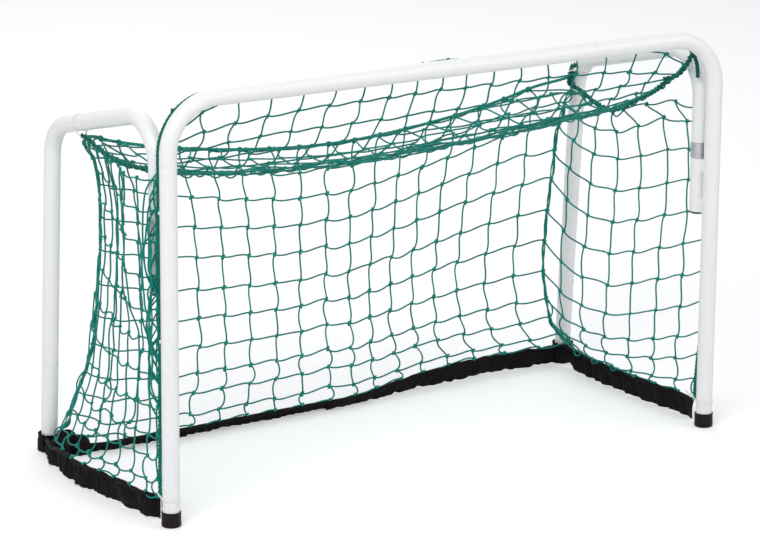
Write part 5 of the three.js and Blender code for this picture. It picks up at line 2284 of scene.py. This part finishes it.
# ------------------------------------------------------------------ the skirt on the floor
@dataclass
class FloorSkirt:
    """The black cloth along the floor: two side bands, two back halves and the pockets on the rear feet."""

    finishes: Finishes
    thickness: float = 1.1
    pocket_thickness: float = 0.8
    step: float = 2.2
    rows: int = 15
    hem: float = 2.7
    pocket_radius: float = 15.8
    side_width: float = 50.0
    back_width: float = 42.0
    side_swing: float = 4.2
    back_swing: float = 2.6
    left_droop: float = 10.0
    side_cut: dict[Side, float] = field(default_factory=lambda: {Side.LEFT: 6.0, Side.RIGHT: 23.0})
    side_splay: dict[Side, float] = field(default_factory=lambda: {Side.LEFT: 3.0, Side.RIGHT: 0.0})
    back_splay: float = 8.0
    pocket_seed: int = 60
    side_seed: int = 70
    back_seed: int = 80
    tape_height: float = 31.0
    lumps: tuple[tuple[float, float, float, float, float, int], ...] = (
        (-447, 368, 19, 14, 35, 5), (-429, 353, 15, 12, 29, 6), (-468, 351, 17, 15, 31, 8),
        (-477, 336, 12, 14, 25, 9))
    side_places: dict[Side, list[tuple[float, float]]] = field(default_factory=lambda: {
        Side.LEFT: [(-462.5, 31), (-474, 60), (-479, 105), (-488, 165), (-496, 215), (-496, 262),
                    (-490, 315), (-485, 345), (-473.4, 379.5)],
        Side.RIGHT: [(462.5, 31), (465, 70), (458, 112), (453, 158), (451, 205), (447, 245), (447, 285),
                     (448, 330), (453.5, 378.3)]})
    back_places: dict[Side, list[tuple[float, float]]] = field(default_factory=lambda: {
        Side.LEFT: [(0, 350), (-30, 350), (-107, 347), (-190, 344), (-274, 339), (-350, 338), (-405, 339),
                    (-435, 352), (-451.6, 379.5)],
        Side.RIGHT: [(0, 350), (30, 350), (90, 362), (160, 374), (235, 381), (316, 389), (375, 387),
                     (425, 387), (445.3, 388.3)]})

    def plans(self) -> dict[Side, dict[str, Run]]:
        """The bands' lines on the floor, seen from above."""
        return {side: {name: Run.smooth([(x, y, 0) for x, y in places[side]], 2.0)
                       for name, places in (("side", self.side_places), ("back", self.back_places))}
                for side in Side}

    def folds(self, reach: Points, seed: int) -> Callable[[float], Points]:
        """Sideways folds of a band, which grow and wander from its hem to its lower edge.

        Args:
            reach: distances along the band.
            seed: the band's own seed.

        Returns:
            The fold at a share of the height, 0 at the hem and 1 at the floor.
        """
        dice = np.random.default_rng(seed)
        waves = [(dice.uniform(11, 60), dice.uniform(0, 2 * math.pi), dice.normal(2.4, 1.5),
                  dice.uniform(0.4, 1.0)) for _ in range(12)]

        def fold(down: float) -> Points:
            """All waves at one height.

            Args:
                down: the share of the height.

            Returns:
                The fold at each place.
            """
            total = np.zeros_like(reach)
            for length, phase, slant, weight in waves:
                total += weight * np.sin(2 * math.pi * reach / length + phase + slant * down)
            return total / 3.0
        return fold

    def band(self, name: str, run: Run, height: Callable[[float, float], float], seed: int, swing: float,
             cut: float = 0.0, splay: float = 0.0, wave: float = 0.9) -> Piece:
        """Makes one band: a rolled hem with the net's edge in it, folds below and a ragged foot.

        Args:
            name: the band's name.
            run: its line on the floor.
            height: the hem's height above a place on the floor.
            seed: its own seed.
            swing: how far the folds stand out.
            cut: how high its lower edge rises at its far end.
            splay: how far its foot lies out over the floor.
            wave: how far its upper edge waves.

        Returns:
            The band as a thin closed sheet.
        """
        line = run.evenly(self.step)
        reach = line.reach
        tangents, _, _ = line.frames(UP)
        out = np.stack([-tangents[:, 1], tangents[:, 0], np.zeros(len(tangents))], axis=1)
        fold = self.folds(reach, seed)
        dice = np.random.default_rng(seed + 7)
        waves = [(dice.uniform(25, 90), dice.uniform(0, 6.3), dice.uniform(0.5, 1)) for _ in range(6)]
        tall = np.array([height(x, y) for x, y in line.points[:, :2]])
        rough = np.clip((tall - PLAN.back_skirt_low) / 9.0, 0.15, 1)
        top = tall - 1.0 + sum(w * np.sin(2 * math.pi * reach / s + p) for s, p, w in waves) * wave * rough
        frays = ((4.1, seed, 2.2), (7.3, 1.0, 1.6), (2.3, 2.0, 3.2))
        ragged = sum(np.sin(reach / s + p) / n for s, p, n in frays)
        foot = 0.9 + np.maximum(fold(1.0) * 1.8 + ragged, 0) * 0.9 * rough
        end = (reach[-1] - reach) / 38.0
        foot += cut * np.clip(1 - end, 0, 1) ** 1.3 * (1 + 0.12 * np.sin(reach / 2.9))
        rows = []
        for angle in np.linspace(-0.5 * math.pi, 1.15 * math.pi, 9):
            rows.append((np.full_like(reach, self.hem * math.cos(angle)), top + self.hem * math.sin(angle)))
        for down in np.linspace(0.06, 1.0, self.rows):
            grow = swing * (0.25 + 0.75 * down ** 0.8)
            squeeze = math.sin(math.pi * down) * 1.4 * np.sin(reach / 13.0 + seed)
            lying = splay * (1 + 0.25 * np.sin(reach / 23.7) + 0.15 * np.sin(reach / 9.3 + 1)) * down ** 2
            ripple = 0.5 * np.sin(reach / 3.1 + 5 * down + 2 * fold(down))
            beside = fold(down) * grow - self.hem * 0.9 + squeeze + lying + ripple
            rows.append((beside, between(top - self.hem * 0.5, foot, down)))
        sheet = np.array([line.points + out * beside[:, None] + UP * rise[:, None] for beside, rise in rows])
        depth = np.concatenate([[0], np.cumsum(np.linalg.norm(np.diff(sheet, axis=0), axis=2).mean(1))])
        shape = Shape()
        shape.grid(sheet, uv_grid(reach, depth))
        return shape.cloth(name, self.finishes.cloth, self.thickness)

    def pocket(self, side: Side) -> Piece:
        """Gathers the cloth round a rear foot, tied in at the top and flared on the floor.

        Args:
            side: its side.

        Returns:
            The pocket's piece.
        """
        angles = np.linspace(0, 2 * math.pi, 96, endpoint=False)
        dice = np.random.default_rng(self.pocket_seed + side.value)
        waves = [(n, dice.uniform(0, 6.3), dice.uniform(0.3, 1)) for n in (3, 5, 7, 9, 12, 15)]
        tall = PLAN.skirt_height - 3.6 + 3.2 * side.value
        rows = []
        levels = np.linspace(0, 1, 18)
        for level in levels:
            fold = sum(w * np.sin(n * angles + p + 1.4 * level) for n, p, w in waves) / 3
            tied = smooth_step(level, 0.62, 0.78) * (1 - 0.8 * smooth_step(level, 0.84, 1.0))
            radius = self.pocket_radius + 1.0 + fold * (1.4 - 0.5 * level) - 0.9 * tied
            radius = np.clip(radius, 14.75, 18.5)
            z = 0.7 + level * tall + 0.9 * fold * level
            x = side.value * PLAN.post_x + radius * np.cos(angles)
            y = PLAN.leg_y - PLAN.leg_slope * (z - PLAN.foot_height) + radius * np.sin(angles)
            rows.append(np.stack([x, y, z], axis=1))
        girth = np.linspace(0, 2 * math.pi * self.pocket_radius, len(angles) + 1)
        shape = Shape()
        shape.grid(np.array(rows), uv_grid(girth, levels * PLAN.skirt_height), around=True)
        return shape.cloth(f"foot_pocket_{side.label}", self.finishes.cloth, self.pocket_thickness)

    def corner_bunch(self) -> None:
        """Bunches the spare cloth of the left rear corner beside its pocket."""
        angles = np.linspace(0, 2 * math.pi, 80, endpoint=False)
        shape = Shape()
        for x, y, wide, deep, tall, seed in self.lumps:
            dice = np.random.default_rng(seed)
            waves = [(n, dice.uniform(0, 6.3), dice.uniform(0.4, 1)) for n in (2, 3, 5, 7, 11)]
            rows = []
            for level in np.linspace(0, 1, 16):
                fold = sum(w * np.sin(n * angles + p + 2.4 * level) for n, p, w in waves) / 3
                girth = (1 - 0.16 * level) * math.sqrt(max(1 - level ** 5, 0.0)) + 0.02
                rows.append(np.stack([x + (wide + 2.2 * fold) * girth * np.cos(angles),
                                      y + (deep + 2.2 * fold) * girth * np.sin(angles),
                                      0.8 + (tall + 1.6 * fold) * level], axis=1))
            sheet = np.array(rows)
            shape.grid(sheet, uv_grid(np.linspace(0, 120, len(angles) + 1), np.linspace(0, 40, len(rows))),
                       around=True)
            shape.fan(sheet[0], sheet[0].mean(0), True)
            shape.fan(sheet[-1], sheet[-1].mean(0), False)
        placed(shape.object("corner_bunch", self.finishes.cloth, 180.0), "wing_left", "black_fabric")

    def edge_tape(self) -> None:
        """Sews the pale tape to the left band's front end."""
        start = self.plans()[Side.LEFT]["side"].points[0]
        rise = [start + [-1.0 + 1.5 * up, -1.5 + 2 * up, 2 + self.tape_height * up]
                for up in np.linspace(0, 1, 6)]
        tape = Shape()
        tape.sweep(Run.smooth(rise, 2.0), rounded_bar(2.6, 0.9, 0.3, 2), (0, 1, 0))
        placed(tape.object("edge_tape", self.finishes.nylon, 40.0), "front", "white_nylon")

    def build(self, hem: Callable[[float, float], float]) -> None:
        """Makes every band and pocket.

        Args:
            hem: the back panel's lower edge.
        """
        plans = self.plans()
        self.corner_bunch()
        self.edge_tape()
        for side in Side:
            label, run = side.label, plans[side]["side"]
            droop = self.left_droop if side is Side.LEFT else 0.0
            band = self.band(f"side_cloth_{label}", run,
                             lambda x, y, droop=droop: PLAN.skirt_height - droop * smooth_step(y, 285, 345),
                             self.side_seed + side.value, self.side_swing, self.side_cut[side],
                             self.side_splay[side], 0.6)
            bends(band, side, "black_fabric", (30, 80), 20, f"side_skirt_{label}")
            run = plans[side]["back"]
            run = Run(np.vstack([run.points[:1] - 5.0 * run.direction(0.001), run.points]))
            rear = self.band(f"back_cloth_{label}", run, hem, self.back_seed + side.value, self.back_swing,
                             splay=self.back_splay * side.value, wave=0.3)
            placed(rear, f"back_{label}", "black_fabric", f"back_skirt_{label}")
            gather_back(rear, side)
            placed(self.pocket(side), f"wing_{label}", "black_fabric", f"skirt_pocket_{label}")


# ------------------------------------------------------------------ stage, light and camera
@dataclass
class Studio:
    """A plain pale floor, soft lamps and the camera at the photograph's angle."""

    camera_place: Place = (-2690.2, -4269.3, 1708.1)
    yaw: float = 31.038
    pitch: float = 15.636
    roll: float = 0.396
    focal_pixels: float = 1894.0
    enlargement: float = 1.9
    picture_width: float = 760.0
    sensor: float = 36.0
    floor_size: float = 9.0
    floor_drop: float = 0.0003
    lamps: tuple[tuple[str, Place, float, float], ...] = (
        ("key_lamp", (-2.6, -2.2, 3.4), 2.2, 94.0), ("fill_lamp", (2.8, -2.6, 2.2), 2.6, 30.0),
        ("rear_lamp", (0.8, 3.0, 3.0), 2.4, 34.0))

    def camera(self) -> None:
        """Makes the camera."""
        yaw, pitch, roll = (math.radians(a) for a in (self.yaw, self.pitch, self.roll))
        look = Vector((math.sin(yaw) * math.cos(pitch), math.cos(yaw) * math.cos(pitch), -math.sin(pitch)))
        right = Vector((math.cos(yaw), -math.sin(yaw), 0.0))
        up = right.cross(look)
        turned = math.cos(roll) * right + math.sin(roll) * up
        data = bpy.data.cameras.new("photo_camera")
        data.sensor_width = self.sensor
        data.lens = self.focal_pixels * self.enlargement / self.picture_width * self.sensor
        data.clip_start, data.clip_end = 0.1, 60.0
        made = linked("photo_camera", data)
        above = turned.cross(look)
        axes = Matrix((turned, above, -look)).transposed().to_4x4()
        axes.translation = Vector(PLAN.world_point(*self.camera_place))
        made.matrix_world = axes
        bpy.context.scene.camera = made

    def lamp(self, name: str, place: Place, size: float, power: float) -> None:
        """Hangs a square soft lamp that points at the goal.

        Args:
            name: the lamp's name.
            place: where it hangs, in metres.
            size: its side.
            power: its watts.
        """
        data = bpy.data.lights.new(name, "AREA")
        data.size, data.energy = size, power
        made = linked(name, data)
        made.location = place
        made.rotation_mode = "QUATERNION"
        made.rotation_quaternion = (Vector((0, 0, 0.3)) - Vector(place)).to_track_quat("-Z", "Y")

    def world(self) -> None:
        """Lights the scene evenly and shows white behind it."""
        world = bpy.data.worlds.new("studio")
        bpy.context.scene.world = world
        world.use_nodes = True
        wires = Wiring(world.node_tree)
        world.node_tree.nodes.clear()
        rays = wires.node("ShaderNodeLightPath").outputs
        direct = wires.math("MAXIMUM", rays["Is Camera Ray"], rays["Is Glossy Ray"])
        seen = wires.math("MAXIMUM", direct, rays["Is Transmission Ray"])
        soft = wires.node("ShaderNodeBackground", {"Color": (0.94, 0.96, 1.0, 1.0), "Strength": 0.5})
        white = wires.node("ShaderNodeBackground", {"Color": (1.0, 1.0, 1.0, 1.0), "Strength": 1.0})
        mix = wires.node("ShaderNodeMixShader", {0: seen, 1: soft.outputs[0], 2: white.outputs[0]})
        wires.node("ShaderNodeOutputWorld", {"Surface": mix.outputs[0]})

    def floor(self) -> None:
        """Lays the floor: near white, and it keeps the goal's shadow."""
        half, low = self.floor_size, -self.floor_drop
        mesh = bpy.data.meshes.new("studio_floor")
        corners = [(x * half, y * half, low) for x, y in ((-1, -1), (1, -1), (1, 1), (-1, 1))]
        mesh.from_pydata(corners, [], [(0, 1, 2, 3)])
        floor = linked("studio_floor", mesh)
        made, wires, shader, _ = surface("studio_floor")
        wires.feed(shader, {"Base Color": (0.86, 0.86, 0.86, 1), "Roughness": 0.9, "Specular IOR Level": 0.1})
        rays = wires.node("ShaderNodeLightPath").outputs
        strength = wires.math("MULTIPLY", rays["Is Camera Ray"], 0.27)
        glow = wires.node("ShaderNodeEmission", {"Color": (1, 1, 1, 1), "Strength": strength})
        both = wires.node("ShaderNodeAddShader", {0: shader.outputs[0], 1: glow.outputs[0]})
        wires.feed(made.node_tree.nodes["Material Output"], {"Surface": both.outputs[0]})
        mesh.materials.append(made)

    def build(self) -> None:
        """Builds the camera, the light and the floor."""
        self.camera()
        self.world()
        for lamp in self.lamps:
            self.lamp(*lamp)
        self.floor()
        bpy.context.scene.view_settings.view_transform = "Standard"


def main() -> None:
    """Builds the goal piece by piece."""
    logging.basicConfig(level=logging.INFO, format="%(message)s")
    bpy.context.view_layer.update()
    finishes = Finishes.build()
    tools = NodeTools()
    Studio().build()
    steel = SteelFrame(tools, finishes)
    steel.build()
    cord = EdgeCord(tools, finishes)
    cord.build()
    ropes = HemRopes(tools, finishes, steel)
    ropes.build()
    skirt = FloorSkirt(finishes)
    net = GoalNet(tools, finishes, cord, ropes, skirt.plans())
    net.build()
    skirt.build(lambda x, _: net.skirt_top(x))


if __name__ == "__main__":
    main()
